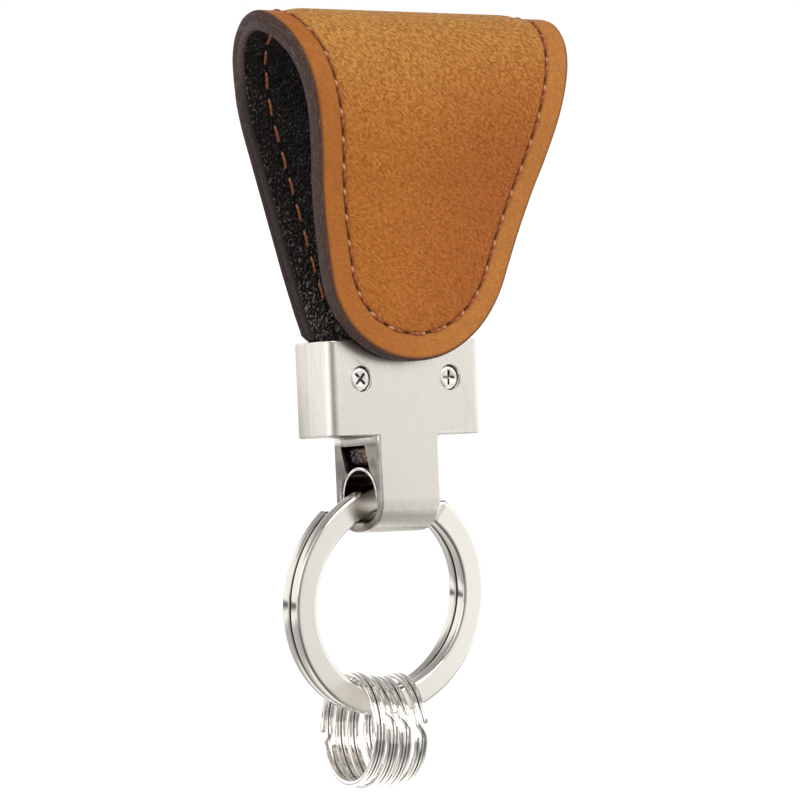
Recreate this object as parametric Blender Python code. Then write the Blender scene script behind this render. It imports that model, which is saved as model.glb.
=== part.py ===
"""Belt-loop key holder: a folded leather strip in a cast end fitting, with one large split ring and four small ones.

The origin is where the belt bears: the middle of the inside top of the leather loop. +Z is up, the flap faces -Y
and X runs across the strip. The loop and the fitting are modelled upright and then tipped about the origin, as they
hang on a belt. The rings hang plumb from them. Lengths are in metres, written as millimetres times MM.
"""

import math

import bmesh
import bpy
from mathutils import Matrix, Vector

MM = 0.001

# Fits shared by all pieces
PIECE_GAP = 0.30 * MM  # between pieces that touch on the real object
CUT_OVERRUN = 1.0 * MM  # how far a cutter runs past the wall that it opens
ARC_STEP_DEG = 9.0  # angle between the facets of a round outline
LOOP_LEAN_DEG = 8.0  # how far the loop's foot hangs to the front, which brings the weight below the belt
ROUND_SIDES = 32

# Leather strip: tan outer layer, black lining, folded over the belt
OUTER_LEATHER = 1.25 * MM
LINING = 1.10 * MM
LAYER_GAP = 0.25 * MM  # the glue line between the two layers
LOOP_GAP = 10.4 * MM  # clear depth inside the fold
LOOP_WIDTH = 44.8 * MM  # across the top of the fold, its widest place
LOOP_DROP = 38.7 * MM  # from the belt's seat down to the fitting's rim
BACK_BULGE = 0.8 * MM  # how far the back panel's sides stand out from straight lines, half way down
FLAP_OVERLAP = 2.6 * MM  # how far the tip hangs below that rim
FLAP_TOP_STRAIGHT = 2.8 * MM  # below the fold, before the flap curves inwards
FLAP_TIP_STRAIGHT = 5.8 * MM  # above the tip, where it lies flat on the fitting
FOLD_SEGMENTS = 10  # in each quarter of the fold
BACK_SEGMENTS = 8
FLAP_SEGMENTS = 14
TIP_SEGMENTS = 9
TIP_BLUNT_DEG = 8.0  # where the round tip's last edge is cut straight

# Magnets that keep the flap shut, between leather and lining
MAGNET_DIAMETER = 8.0 * MM
MAGNET_THICKNESS = 0.9 * MM
MAGNET_HEIGHT = 7.2 * MM  # of their centres above the fitting's rim

# End fitting, upper sleeve
SLEEVE_WIDTH = 24.2 * MM
SLEEVE_HEIGHT = 12.2 * MM
SLEEVE_CORNER = 1.4 * MM
SLEEVE_RIM = 0.30 * MM
SLEEVE_FRONT_WALL = 2.75 * MM
SLEEVE_BACK_WALL = 2.20 * MM
SLEEVE_SIDE_WALL = 0.90 * MM
SLEEVE_FLOOR = 1.00 * MM
MOUTH_SHOULDER = 0.50 * MM  # the leather is this much wider just above the sleeve, on each side

# End fitting, lower block with the hole for the ring
BLOCK_WIDTH = 9.5 * MM
BLOCK_FRONT_WALL = 1.20 * MM
BLOCK_BACK_WALL = 1.10 * MM
BLOCK_BOTTOM_WALL = 1.35 * MM
BLOCK_BOTTOM_RADIUS = 4.2 * MM
BLOCK_BACK_RISE = 1.0  # height over depth of the slope that leads from the block's back to the sleeve's
BLOCK_RIM = 0.45 * MM
BLOCK_FILLET = 1.2 * MM
HOLE_BOTTOM_RADIUS = 2.4 * MM
HOLE_FLARE = 0.40 * MM  # rounding of the hole's edges on the block's sides
WINDOW_DEPTH = 5.2 * MM
WINDOW_HEIGHT = 2.6 * MM
WINDOW_SETBACK = 2.0 * MM  # from the hole's front side to the window's
WINDOW_LEAN = 1.0 * MM
WINDOW_BELOW_SLEEVE = 1.1 * MM
TONGUE_HALF_WIDTH = 3.7 * MM  # the strip's narrow end, which shows in the window
TONGUE_SHOULDER = 1.2 * MM

# Saddle that lines the top of the hole
SADDLE_THICKNESS = 0.40 * MM
SADDLE_FIT = 0.15 * MM
SADDLE_LEG = 0.50 * MM  # below the arch's centre
SADDLE_SETBACK = 0.25 * MM  # from the block's side faces

# Screws
SCREW_FROM_SIDE = 5.05 * MM
SCREW_BELOW_RIM = 4.95 * MM
SCREW_HEAD_DIAMETER = 3.05 * MM
SCREW_HEAD_THICKNESS = 0.9 * MM
SCREW_HEAD_EDGE = 0.2 * MM
SCREW_RECESS = 0.35 * MM
SCREW_SHANK_DIAMETER = 1.6 * MM
SCREW_END_WALL = 0.7 * MM  # left in the sleeve's back wall behind the screw's hole
CROSS_SLOT_LENGTH = 1.9 * MM
CROSS_SLOT_WIDTH = 0.38 * MM
CROSS_SLOT_DEPTH = 0.5 * MM
CROSS_TURN_DEG = {"screw_left": 45.0, "screw_right": 2.0}

# Main split ring
MAIN_RING_DIAMETER = 30.0 * MM
MAIN_WIRE_RADIAL = 3.4 * MM
MAIN_WIRE_AXIAL = 1.6 * MM
MAIN_WIRE_CORNER = 0.35 * MM
MAIN_TURN_GAP = 0.15 * MM
MAIN_STEP_DEG = 5.0
MAIN_JOG_START_DEG = 128.0  # seen from the front, anticlockwise from +X
MAIN_JOG_SPAN_DEG = 69.0
SWING_CLEARANCE = 0.10 * MM  # round the ring as it turns in the hole

# Small split rings
SMALL_RING_DIAMETER = 14.7 * MM
SMALL_WIRE_RADIAL = 0.75 * MM
SMALL_WIRE_AXIAL = 0.80 * MM
SMALL_WIRE_CORNER = 0.20 * MM
SMALL_TURN_GAP = 0.12 * MM
SMALL_STEP_DEG = 10.0
SMALL_RING_TURN_DEG = 7.5  # about Z, away from square to the main ring
SMALL_RING_HANG = 2.6 * MM  # from the main wire's centre up to a small ring's inner wall
SMALL_RING_PITCH = 2.05 * MM
SMALL_JOG_SPAN_DEG = 18.0
# How many pitches each ring hangs to the right of the main ring's middle, and where its wire steps over
SMALL_RING_PLACES = ((-2.0, 11.0), (-1.0, 174.0), (0.0, 174.0), (1.25, 186.0))

# Joint
FOLD_SPLIT_GAP = 0.30 * MM  # between the back half and the flap half of each layer, at the top of the fold

# Places that follow from the sizes
STRIP_THICKNESS = OUTER_LEATHER + LAYER_GAP + LINING
FOLD_RADIUS = LOOP_GAP / 2 + STRIP_THICKNESS / 2  # of the middle of the strip
FOLD_CENTRE_Z = -LOOP_GAP / 2
APEX_Z = STRIP_THICKNESS
RIM_Z = -LOOP_DROP
TIP_Z = RIM_Z - FLAP_OVERLAP
BEND_START_Z = FOLD_CENTRE_Z - FLAP_TOP_STRAIGHT
BEND_END_Z = TIP_Z + FLAP_TIP_STRAIGHT

POCKET_FRONT_Y = FOLD_RADIUS - STRIP_THICKNESS / 2 - PIECE_GAP
POCKET_BACK_Y = FOLD_RADIUS + STRIP_THICKNESS / 2 + PIECE_GAP
FITTING_FRONT_Y = POCKET_FRONT_Y - SLEEVE_FRONT_WALL
SLEEVE_BACK_Y = POCKET_BACK_Y + SLEEVE_BACK_WALL
SLEEVE_BOTTOM_Z = RIM_Z - SLEEVE_HEIGHT
POCKET_FLOOR_Z = SLEEVE_BOTTOM_Z + SLEEVE_FLOOR
POCKET_HALF_WIDTH = SLEEVE_WIDTH / 2 - SLEEVE_SIDE_WALL
STRIP_END_HALF_WIDTH = POCKET_HALF_WIDTH - PIECE_GAP
FLAP_TIP_Y = FITTING_FRONT_Y - PIECE_GAP - STRIP_THICKNESS / 2  # of the middle of the strip
FLAP_TRAVEL_Y = FLAP_TIP_Y + FOLD_RADIUS

MOUTH_HALF_WIDTH = STRIP_END_HALF_WIDTH + MOUTH_SHOULDER
SIDE_SLOPE = (LOOP_WIDTH / 2 - MOUTH_HALF_WIDTH) / (APEX_Z - RIM_Z)

MAIN_BAND_RADIUS = MAIN_RING_DIAMETER / 2 - MAIN_WIRE_RADIAL / 2
MAIN_INNER_RADIUS = MAIN_RING_DIAMETER / 2 - MAIN_WIRE_RADIAL
MAIN_HALF_THICKNESS = MAIN_WIRE_AXIAL + MAIN_TURN_GAP / 2
# At the block's sides the ring's inner edge lies this far below the middle of its band
MAIN_REACH_AT_BLOCK = MAIN_BAND_RADIUS - math.sqrt(MAIN_INNER_RADIUS**2 - (BLOCK_WIDTH / 2) ** 2)
SADDLE_INNER_RADIUS = math.hypot(MAIN_REACH_AT_BLOCK, MAIN_HALF_THICKNESS) + SWING_CLEARANCE
SADDLE_OUTER_RADIUS = SADDLE_INNER_RADIUS + SADDLE_THICKNESS
HOLE_RADIUS = SADDLE_OUTER_RADIUS + SADDLE_FIT
HOLE_FLOOR_DROP = SADDLE_INNER_RADIUS
WINDOW_TOP_Z = SLEEVE_BOTTOM_Z - WINDOW_BELOW_SLEEVE
HOLE_TOP_Z = WINDOW_TOP_Z - WINDOW_HEIGHT
RING_PIVOT = Vector((0, FITTING_FRONT_Y + BLOCK_FRONT_WALL + HOLE_RADIUS, HOLE_TOP_Z - HOLE_RADIUS))
BLOCK_BACK_Y = RING_PIVOT.y + HOLE_RADIUS + BLOCK_BACK_WALL
BLOCK_BOTTOM_Z = RING_PIVOT.z - HOLE_FLOOR_DROP - BLOCK_BOTTOM_WALL
TONGUE_END_Z = HOLE_TOP_Z + PIECE_GAP
FLAP_PIVOT = Vector((0, 0, APEX_Z))

# The same two pivots once the loop hangs tipped, and the main ring, plumb below its pivot
LOOP_LEAN = Matrix.Rotation(math.radians(-LOOP_LEAN_DEG), 3, "X")
HUNG_FLAP_PIVOT = LOOP_LEAN @ FLAP_PIVOT
HUNG_RING_PIVOT = LOOP_LEAN @ RING_PIVOT
MAIN_RING_CENTRE = HUNG_RING_PIVOT - Vector((0, 0, MAIN_BAND_RADIUS))


def material(name, colour, roughness, metallic=0.0):
    made = bpy.data.materials.new(name)
    made.use_nodes = True
    shader = made.node_tree.nodes["Principled BSDF"]
    shader.inputs["Base Color"].default_value = (*colour, 1.0)
    shader.inputs["Roughness"].default_value = roughness
    shader.inputs["Metallic"].default_value = metallic
    made.diffuse_color = (*colour, 1.0)
    return made


def object_from(bm, name, surface=None, smooth_deg=None):
    """Makes an object of the bmesh. Without a surface it is a cutter or a helper, which no render shows."""
    bmesh.ops.recalc_face_normals(bm, faces=bm.faces)
    mesh = bpy.data.meshes.new(name)
    bm.to_mesh(mesh)
    bm.free()
    made = bpy.data.objects.new(name, mesh)
    bpy.context.scene.collection.objects.link(made)
    if surface is None:
        made.hide_render = True
        made.display_type = "WIRE"
    else:
        mesh.materials.append(surface)
    if smooth_deg is not None:
        mesh.shade_smooth()
        mesh.set_sharp_from_angle(angle=math.radians(smooth_deg))
    return made


def empty_at(name, place, parent=None):
    made = bpy.data.objects.new(name, None)
    made.location = place
    made.parent = parent
    bpy.context.scene.collection.objects.link(made)
    return made


def carry(piece, pivot, place):
    """Parents the piece to the empty at this place, so that its origin is on the joint's axis."""
    piece.data.transform(Matrix.Translation(-place))
    piece.parent = pivot


def tip_loop():
    """Tips everything made so far about the belt's seat. The rings come later, so they stay plumb."""
    lean = empty_at("loop_lean", (0, 0, 0))
    lean.rotation_euler = LOOP_LEAN.to_euler()
    for piece in list(bpy.data.objects):
        if piece.parent is None and piece != lean:
            piece.parent = lean


def arc(centre, radius, start_deg, end_deg):
    """Points of an arc in a plane, both ends included."""
    steps = max(2, round(abs(end_deg - start_deg) / ARC_STEP_DEG))
    angles = [math.radians(start_deg + (end_deg - start_deg) * i / steps) for i in range(steps + 1)]
    return [(centre[0] + radius * math.cos(a), centre[1] + radius * math.sin(a)) for a in angles]


def loft(rows, name, surface=None, smooth_deg=None):
    """A closed solid through rows of as many points each, with a flat face on the first and the last row."""
    bm = bmesh.new()
    rings = [[bm.verts.new(point) for point in row] for row in rows]
    count = len(rings[0])
    for one, other in zip(rings, rings[1:]):
        for i in range(count):
            j = (i + 1) % count
            bm.faces.new((one[i], one[j], other[j], other[i]))
    bm.faces.new(rings[0][::-1])
    bm.faces.new(rings[-1])
    return object_from(bm, name, surface, smooth_deg)


def prism_x(outline, low, high, name, surface=None, smooth_deg=None):
    """The (y, z) outline drawn out along X."""
    rows = [[(x, y, z) for y, z in outline] for x in (low, high)]
    return loft(rows, name, surface, smooth_deg)


def prism_y(outline, low, high, name):
    """The (x, z) outline drawn out along Y."""
    return loft([[(x, y, z) for x, z in outline] for y in (low, high)], name)


def prism_z(outline, low, high, name, surface=None, smooth_deg=None):
    """The (x, y) outline drawn out along Z."""
    return loft([[(x, y, z) for x, y in outline] for z in (low, high)], name, surface, smooth_deg)


def box(low, high, name):
    outline = [(low[0], low[1]), (high[0], low[1]), (high[0], high[1]), (low[0], high[1])]
    return prism_z(outline, low[2], high[2], name)


def round_bar_y(x, z, radius, low, high, name, surface=None, smooth_deg=None):
    """A round bar along Y, from low to high."""
    turn = [math.tau * i / ROUND_SIDES for i in range(ROUND_SIDES)]
    outline = [(x + radius * math.cos(a), z + radius * math.sin(a)) for a in turn]
    rows = [[(px, y, pz) for px, pz in outline] for y in (low, high)]
    return loft(rows, name, surface, smooth_deg)


def combine(target, helper, operation="DIFFERENCE"):
    modifier = target.modifiers.new(f"{operation.title()} {helper.name}", "BOOLEAN")
    modifier.operation = operation
    modifier.solver = "EXACT"
    modifier.object = helper


def round_edges(target, width, angle_deg, segments):
    modifier = target.modifiers.new("Rounded edges", "BEVEL")
    modifier.width = width
    modifier.segments = segments
    modifier.limit_method = "ANGLE"
    modifier.angle_limit = math.radians(angle_deg)


# Leather strip


def side_half_width(z):
    """Half the strip's width where its sides run straight."""
    return MOUTH_HALF_WIDTH + SIDE_SLOPE * (z - RIM_Z)


def tip_radius():
    """Radius of the round tip, which meets both straight sides without a corner."""
    return side_half_width(TIP_Z) / (math.hypot(1, SIDE_SLOPE) - SIDE_SLOPE)


def flap_y(z):
    """Where the middle of the strip runs on the flap: straight, then in a double bend to the fitting's face."""
    way = min(1, max(0, (BEND_START_Z - z) / (BEND_START_Z - BEND_END_Z)))
    return -FOLD_RADIUS + FLAP_TRAVEL_Y * way * way * (3 - 2 * way)


def flap_slope(z):
    """dy/dz of flap_y."""
    height = BEND_START_Z - BEND_END_Z
    way = min(1, max(0, (BEND_START_Z - z) / height))
    return -6 * FLAP_TRAVEL_Y * way * (1 - way) / height


def back_stations():
    """(y, z, outward normal, half width) up the back panel and over the first quarter of the fold."""
    backwards = (1.0, 0.0)
    heights = (
        (TONGUE_END_Z, TONGUE_HALF_WIDTH),
        (POCKET_FLOOR_Z + PIECE_GAP, TONGUE_HALF_WIDTH),
        (POCKET_FLOOR_Z + PIECE_GAP + TONGUE_SHOULDER, STRIP_END_HALF_WIDTH),
        (RIM_Z, STRIP_END_HALF_WIDTH),
        (RIM_Z + MOUTH_SHOULDER, side_half_width(RIM_Z + MOUTH_SHOULDER)),
    )
    stations = [(FOLD_RADIUS, z, backwards, half) for z, half in heights]
    foot_z = RIM_Z + MOUTH_SHOULDER
    for i in range(1, BACK_SEGMENTS):
        share = i / BACK_SEGMENTS
        z = foot_z + (FOLD_CENTRE_Z - foot_z) * share
        stations.append((FOLD_RADIUS, z, backwards, side_half_width(z) + BACK_BULGE * math.sin(math.pi * share)))
    for i in range(FOLD_SEGMENTS + 1):
        stations.append(fold_station(math.radians(90 * i / FOLD_SEGMENTS)))
    return split_at_apex(stations, 1)


def fold_station(angle):
    """A station on the half-round fold, at an angle from its back side."""
    normal = (math.cos(angle), math.sin(angle))
    y, z = FOLD_RADIUS * normal[0], FOLD_CENTRE_Z + FOLD_RADIUS * normal[1]
    return (y, z, normal, side_half_width(z))


def split_at_apex(stations, side):
    """Moves the last station back from the top of the fold, to leave half of the split there."""
    y, z, normal, half = stations[-1]
    return stations[:-1] + [(side * FOLD_SPLIT_GAP / 2, z, normal, half)]


def flap_stations():
    """(y, z, outward normal, half width) up the flap, from its round tip to the top of the fold."""
    radius = tip_radius()
    centre_z = TIP_Z + radius
    side_angle = 90 - math.degrees(math.atan(SIDE_SLOPE))
    places = []
    for i in range(TIP_SEGMENTS + 1):
        angle = math.radians(TIP_BLUNT_DEG + (side_angle - TIP_BLUNT_DEG) * i / TIP_SEGMENTS)
        places.append((centre_z - radius * math.cos(angle), radius * math.sin(angle)))
    last_z = places[-1][0]
    for i in range(1, FLAP_SEGMENTS + 1):
        z = last_z + (BEND_START_Z - last_z) * i / FLAP_SEGMENTS
        places.append((z, side_half_width(z)))
    stations = []
    for z, half in places:
        length = math.hypot(1, flap_slope(z))
        stations.append((flap_y(z), z, (-1 / length, flap_slope(z) / length), half))
    for i in range(FOLD_SEGMENTS + 1):
        stations.append(fold_station(math.radians(180 - 90 * i / FOLD_SEGMENTS)))
    return split_at_apex(stations, -1)


def strip_layer(stations, inner, outer, name, surface):
    """One layer of the strip, between two offsets from its middle along the outward normal."""
    rows = []
    for y, z, normal, half in stations:
        faces = [(y + normal[0] * off, z + normal[1] * off) for off in (inner, outer)]
        (inner_y, inner_z), (outer_y, outer_z) = faces
        rows.append(
            [
                (-half, inner_y, inner_z),
                (half, inner_y, inner_z),
                (half, outer_y, outer_z),
                (-half, outer_y, outer_z),
            ]
        )
    return loft(rows, name, surface, 30)


def magnet_disc(radius, thickness, y, z, lean, name, surface=None):
    """A disc whose face follows a panel that leans by this angle, centred between leather and lining."""
    disc = round_bar_y(0, 0, radius, -thickness / 2, thickness / 2, name, surface, 30)
    disc.data.transform(Matrix.Translation((0, y, z)) @ Matrix.Rotation(lean, 4, "X"))
    return disc


def make_leather(tan, black, steel, flap_pivot):
    half = STRIP_THICKNESS / 2
    layers = {"outer_leather": (half - OUTER_LEATHER, half, tan), "lining": (-half, LINING - half, black)}
    magnet_z = RIM_Z + MAGNET_HEIGHT
    middle = ((half - OUTER_LEATHER) + (LINING - half)) / 2
    lean = math.atan(flap_slope(magnet_z))
    panels = {
        "back": (back_stations(), FOLD_RADIUS + middle, 0.0),
        "flap": (flap_stations(), flap_y(magnet_z) - middle * math.cos(lean), -lean),
    }
    radius, depth = MAGNET_DIAMETER / 2, MAGNET_THICKNESS
    for panel, (stations, magnet_y, tilt) in panels.items():
        room_name = f"{panel}_magnet_pocket"
        room = magnet_disc(radius + PIECE_GAP, depth + 2 * LAYER_GAP, magnet_y, magnet_z, tilt, room_name)
        pieces = [magnet_disc(radius, depth, magnet_y, magnet_z, tilt, f"{panel}_magnet", steel)]
        for layer, (inner, outer, surface) in layers.items():
            piece = strip_layer(stations, inner, outer, f"{layer}_{panel}", surface)
            combine(piece, room)
            if panel == "back":
                for hole in screw_holes():
                    combine(piece, hole)
            pieces.append(piece)
        if panel == "flap":
            carry(room, flap_pivot, FLAP_PIVOT)
            for piece in pieces:
                carry(piece, flap_pivot, FLAP_PIVOT)


# End fitting


def screw_places():
    x, z = SLEEVE_WIDTH / 2 - SCREW_FROM_SIDE, RIM_Z - SCREW_BELOW_RIM
    return {"screw_left": (-x, z), "screw_right": (x, z)}


def screw_holes():
    """One clearance hole for each shank, through the strip and into the sleeve's back wall."""
    end_y = SLEEVE_BACK_Y - SCREW_END_WALL
    radius = SCREW_SHANK_DIAMETER / 2 + PIECE_GAP
    holes = []
    for name, (x, z) in screw_places().items():
        known = bpy.data.objects.get(f"{name}_hole")
        holes.append(known or round_bar_y(x, z, radius, FITTING_FRONT_Y - CUT_OVERRUN, end_y, f"{name}_hole"))
    return holes


def hole_outline(grow):
    """(y, z) outline of the ring's hole, an arch over a flat floor, widened by grow."""
    y, z = RING_PIVOT.y, RING_PIVOT.z
    corner = HOLE_BOTTOM_RADIUS
    floor_z = z - HOLE_FLOOR_DROP
    side = HOLE_RADIUS - corner
    return (
        arc((y, z), HOLE_RADIUS + grow, 0, 180)
        + arc((y - side, floor_z + corner), corner + grow, 180, 270)
        + arc((y + side, floor_z + corner), corner + grow, 270, 360)
    )


def flared_hole():
    """Cutter for the ring's hole, with rounded edges where it comes out of the block's sides."""
    side = BLOCK_WIDTH / 2
    quarter = [math.radians(a) for a in (0, 30, 60, 90)]
    places = [(side - HOLE_FLARE * (1 - math.sin(a)), HOLE_FLARE * (1 - math.cos(a))) for a in quarter]
    places.append((side + CUT_OVERRUN, places[-1][1]))
    rows = [[(-x, y, z) for y, z in hole_outline(grow)] for x, grow in reversed(places)]
    rows += [[(x, y, z) for y, z in hole_outline(grow)] for x, grow in places]
    return loft(rows, "ring_hole")


def block_outline():
    """(y, z) side view of the lower block: a sloping top at the back, round at the bottom."""
    radius = BLOCK_BOTTOM_RADIUS
    front, back, bottom = FITTING_FRONT_Y, BLOCK_BACK_Y, BLOCK_BOTTOM_Z
    inside_y = SLEEVE_BACK_Y - SLEEVE_BACK_WALL / 2
    top_z = SLEEVE_BOTTOM_Z + BLOCK_BACK_RISE * (BLOCK_BACK_Y - inside_y)
    return (
        [(front, top_z), (front, bottom + radius)]
        + arc((front + radius, bottom + radius), radius, 180, 270)[1:]
        + arc((back - radius, bottom + radius), radius, 270, 360)
        + [(back, SLEEVE_BOTTOM_Z), (inside_y, top_z)]
    )


def window_outline():
    """(y, z) outline of the side window over the saddle. Its sides lean forwards going down."""
    front = RING_PIVOT.y - HOLE_RADIUS + WINDOW_SETBACK
    back = front + WINDOW_DEPTH
    foot_z = HOLE_TOP_Z - CUT_OVERRUN
    return [
        (front, WINDOW_TOP_Z),
        (front - WINDOW_LEAN, foot_z),
        (back - WINDOW_LEAN, foot_z),
        (back, WINDOW_TOP_Z),
    ]


def wing_fillet(side):
    """Fills the corner between the block and the sleeve's underside with a concave rounding."""
    x, z = side * BLOCK_WIDTH / 2, SLEEVE_BOTTOM_Z
    sunk = BLOCK_FILLET / 2
    turn = (90, 0) if side < 0 else (90, 180)
    curve = arc((x + side * BLOCK_FILLET, z - BLOCK_FILLET), BLOCK_FILLET, *turn)
    outline = [(curve[0][0], z + sunk)] + curve + [(x - side * sunk, z - BLOCK_FILLET), (x - side * sunk, z + sunk)]
    name = "fillet_left" if side < 0 else "fillet_right"
    return prism_y(outline, FITTING_FRONT_Y + BLOCK_RIM, SLEEVE_BACK_Y - BLOCK_RIM, name)


def sleeve_outline():
    """(x, y) outline of the sleeve, a rectangle with round corners."""
    radius, half = SLEEVE_CORNER, SLEEVE_WIDTH / 2
    left, right = radius - half, half - radius
    front, back = FITTING_FRONT_Y + radius, SLEEVE_BACK_Y - radius
    corners = ((right, front, 270), (right, back, 0), (left, back, 90), (left, front, 180))
    return [point for x, y, start in corners for point in arc((x, y), radius, start, start + 90)]


def make_end_fitting(nickel):
    fitting = prism_z(sleeve_outline(), SLEEVE_BOTTOM_Z, RIM_Z, "end_fitting", nickel, 30)
    round_edges(fitting, SLEEVE_RIM, 60, 2)
    block = prism_x(block_outline(), -BLOCK_WIDTH / 2, BLOCK_WIDTH / 2, "block")
    round_edges(block, BLOCK_RIM, 60, 3)
    combine(fitting, block, "UNION")
    for side in (-1, 1):
        combine(fitting, wing_fillet(side), "UNION")
    pocket_top = RIM_Z + CUT_OVERRUN
    combine(
        fitting,
        box(
            (-POCKET_HALF_WIDTH, POCKET_FRONT_Y, POCKET_FLOOR_Z),
            (POCKET_HALF_WIDTH, POCKET_BACK_Y, pocket_top),
            "leather_pocket",
        ),
    )
    slot = TONGUE_HALF_WIDTH + PIECE_GAP
    combine(
        fitting,
        box(
            (-slot, POCKET_FRONT_Y, HOLE_TOP_Z - SADDLE_FIT),
            (slot, POCKET_BACK_Y, POCKET_FLOOR_Z + CUT_OVERRUN),
            "tongue_slot",
        ),
    )
    side = BLOCK_WIDTH / 2 + CUT_OVERRUN
    combine(fitting, prism_x(window_outline(), -side, side, "window"))
    combine(fitting, flared_hole())
    for hole in screw_holes():
        combine(fitting, hole)
    for name, (x, z) in screw_places().items():
        radius = SCREW_HEAD_DIAMETER / 2 + PIECE_GAP / 2
        seat_y = FITTING_FRONT_Y + SCREW_RECESS + SCREW_HEAD_THICKNESS + PIECE_GAP / 2
        combine(fitting, round_bar_y(x, z, radius, FITTING_FRONT_Y - CUT_OVERRUN, seat_y, f"{name}_seat"))


def make_saddle(steel):
    """Strip bent over the ring's hole: outer arch one way, inner arch back."""
    y, z = RING_PIVOT.y, RING_PIVOT.z
    foot_z = z - SADDLE_LEG
    outline = (
        [(y + SADDLE_OUTER_RADIUS, foot_z)]
        + arc((y, z), SADDLE_OUTER_RADIUS, 0, 180)
        + [(y - SADDLE_OUTER_RADIUS, foot_z), (y - SADDLE_INNER_RADIUS, foot_z)]
        + arc((y, z), SADDLE_INNER_RADIUS, 180, 0)
        + [(y + SADDLE_INNER_RADIUS, foot_z)]
    )
    half = BLOCK_WIDTH / 2 - SADDLE_SETBACK
    prism_x(outline, -half, half, "ring_saddle", steel, 30)


def make_screw(name, x, z, steel):
    """Pan head with a cross recess, and its shank in one turned profile, axis along Y."""
    head, shank = SCREW_HEAD_DIAMETER / 2, SCREW_SHANK_DIAMETER / 2
    face_y = FITTING_FRONT_Y + SCREW_RECESS
    under_y = face_y + SCREW_HEAD_THICKNESS
    end_y = SLEEVE_BACK_Y - SCREW_END_WALL - PIECE_GAP
    profile = (
        (head - SCREW_HEAD_EDGE, face_y),
        (head, face_y + SCREW_HEAD_EDGE),
        (head, under_y),
        (shank, under_y),
        (shank, end_y - SCREW_HEAD_EDGE),
        (shank - SCREW_HEAD_EDGE, end_y),
    )
    turn = [math.tau * i / ROUND_SIDES for i in range(ROUND_SIDES)]
    rows = [[(x + r * math.cos(a), y, z + r * math.sin(a)) for a in turn] for r, y in profile]
    screw = loft(rows, name, steel, 30)
    for arm, turned in (("a", 0), ("b", 90)):
        length, width = CROSS_SLOT_LENGTH / 2, CROSS_SLOT_WIDTH / 2
        slot = box((-length, -CUT_OVERRUN, -width), (length, CROSS_SLOT_DEPTH, width), f"{name}_slot_{arm}")
        angle = math.radians(CROSS_TURN_DEG[name] + turned)
        slot.data.transform(Matrix.Translation((x, face_y, z)) @ Matrix.Rotation(angle, 4, "Y"))
        combine(screw, slot)


# Split rings


def wire_section(radial, axial, corner):
    """(radial, axial) outline of a flat wire with chamfered corners."""
    r, a, c = radial / 2, axial / 2, corner
    return [(r, c - a), (r, a - c), (r - c, a), (c - r, a), (-r, a - c), (-r, c - a), (c - r, -a), (r - c, -a)]


def split_ring(band_radius, section, layer_pitch, jog_start_deg, jog_span_deg, step_deg, name, surface):
    """Two flat turns of one wire about Y, centred on the origin.

    The wire starts in the front layer past the jog, runs clockwise round to the jog, steps over to the back layer
    and stops where it comes back to the jog, so only one strand crosses there.
    """
    whole_deg = 720 - jog_span_deg
    steps = round(whole_deg / step_deg)
    rows = []
    for i in range(steps + 1):
        turned = whole_deg * i / steps
        way = min(1, max(0, (turned - (360 - jog_span_deg)) / jog_span_deg))
        layer = layer_pitch * (way * way * (3 - 2 * way) - 1 / 2)
        angle = math.radians(jog_start_deg - jog_span_deg - turned)
        rows.append(
            [
                ((band_radius + r) * math.cos(angle), layer + a, (band_radius + r) * math.sin(angle))
                for r, a in section
            ]
        )
    return loft(rows, name, surface, 40)


def make_main_ring(steel, pivot):
    ring = split_ring(
        MAIN_BAND_RADIUS,
        wire_section(MAIN_WIRE_RADIAL, MAIN_WIRE_AXIAL, MAIN_WIRE_CORNER),
        MAIN_WIRE_AXIAL + MAIN_TURN_GAP,
        MAIN_JOG_START_DEG,
        MAIN_JOG_SPAN_DEG,
        MAIN_STEP_DEG,
        "main_split_ring",
        steel,
    )
    ring.data.transform(Matrix.Translation(MAIN_RING_CENTRE - HUNG_RING_PIVOT))
    ring.parent = pivot


def small_ring_pivot(pitches):
    """Where a small ring bears: the middle of the main ring's wire, this many pitches right of its lowest point."""
    x = pitches * SMALL_RING_PITCH
    return MAIN_RING_CENTRE + Vector((x, 0, -math.sqrt(MAIN_BAND_RADIUS**2 - x * x)))


def make_small_rings(steel, main_pivot):
    band_radius = SMALL_RING_DIAMETER / 2 - SMALL_WIRE_RADIAL / 2
    drop = band_radius - SMALL_WIRE_RADIAL / 2 - SMALL_RING_HANG
    # The ring is made about Y and turned so that its own axis runs along X, then by its small turn about Z.
    face = Matrix.Rotation(math.radians(90 - SMALL_RING_TURN_DEG), 4, "Z")
    for number, (pitches, jog_start) in enumerate(SMALL_RING_PLACES, 1):
        bearing = small_ring_pivot(pitches)
        pivot = empty_at(f"small_ring_{number}_pivot", bearing - HUNG_RING_PIVOT, main_pivot)
        ring = split_ring(
            band_radius,
            wire_section(SMALL_WIRE_RADIAL, SMALL_WIRE_AXIAL, SMALL_WIRE_CORNER),
            SMALL_WIRE_AXIAL + SMALL_TURN_GAP,
            jog_start,
            SMALL_JOG_SPAN_DEG,
            SMALL_STEP_DEG,
            f"small_split_ring_{number}",
            steel,
        )
        ring.data.transform(Matrix.Translation((0, 0, -drop)) @ face)
        ring.parent = pivot
        print(f"small ring {number} turns about {tuple(round(v / MM, 3) for v in bearing)} mm")


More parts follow.
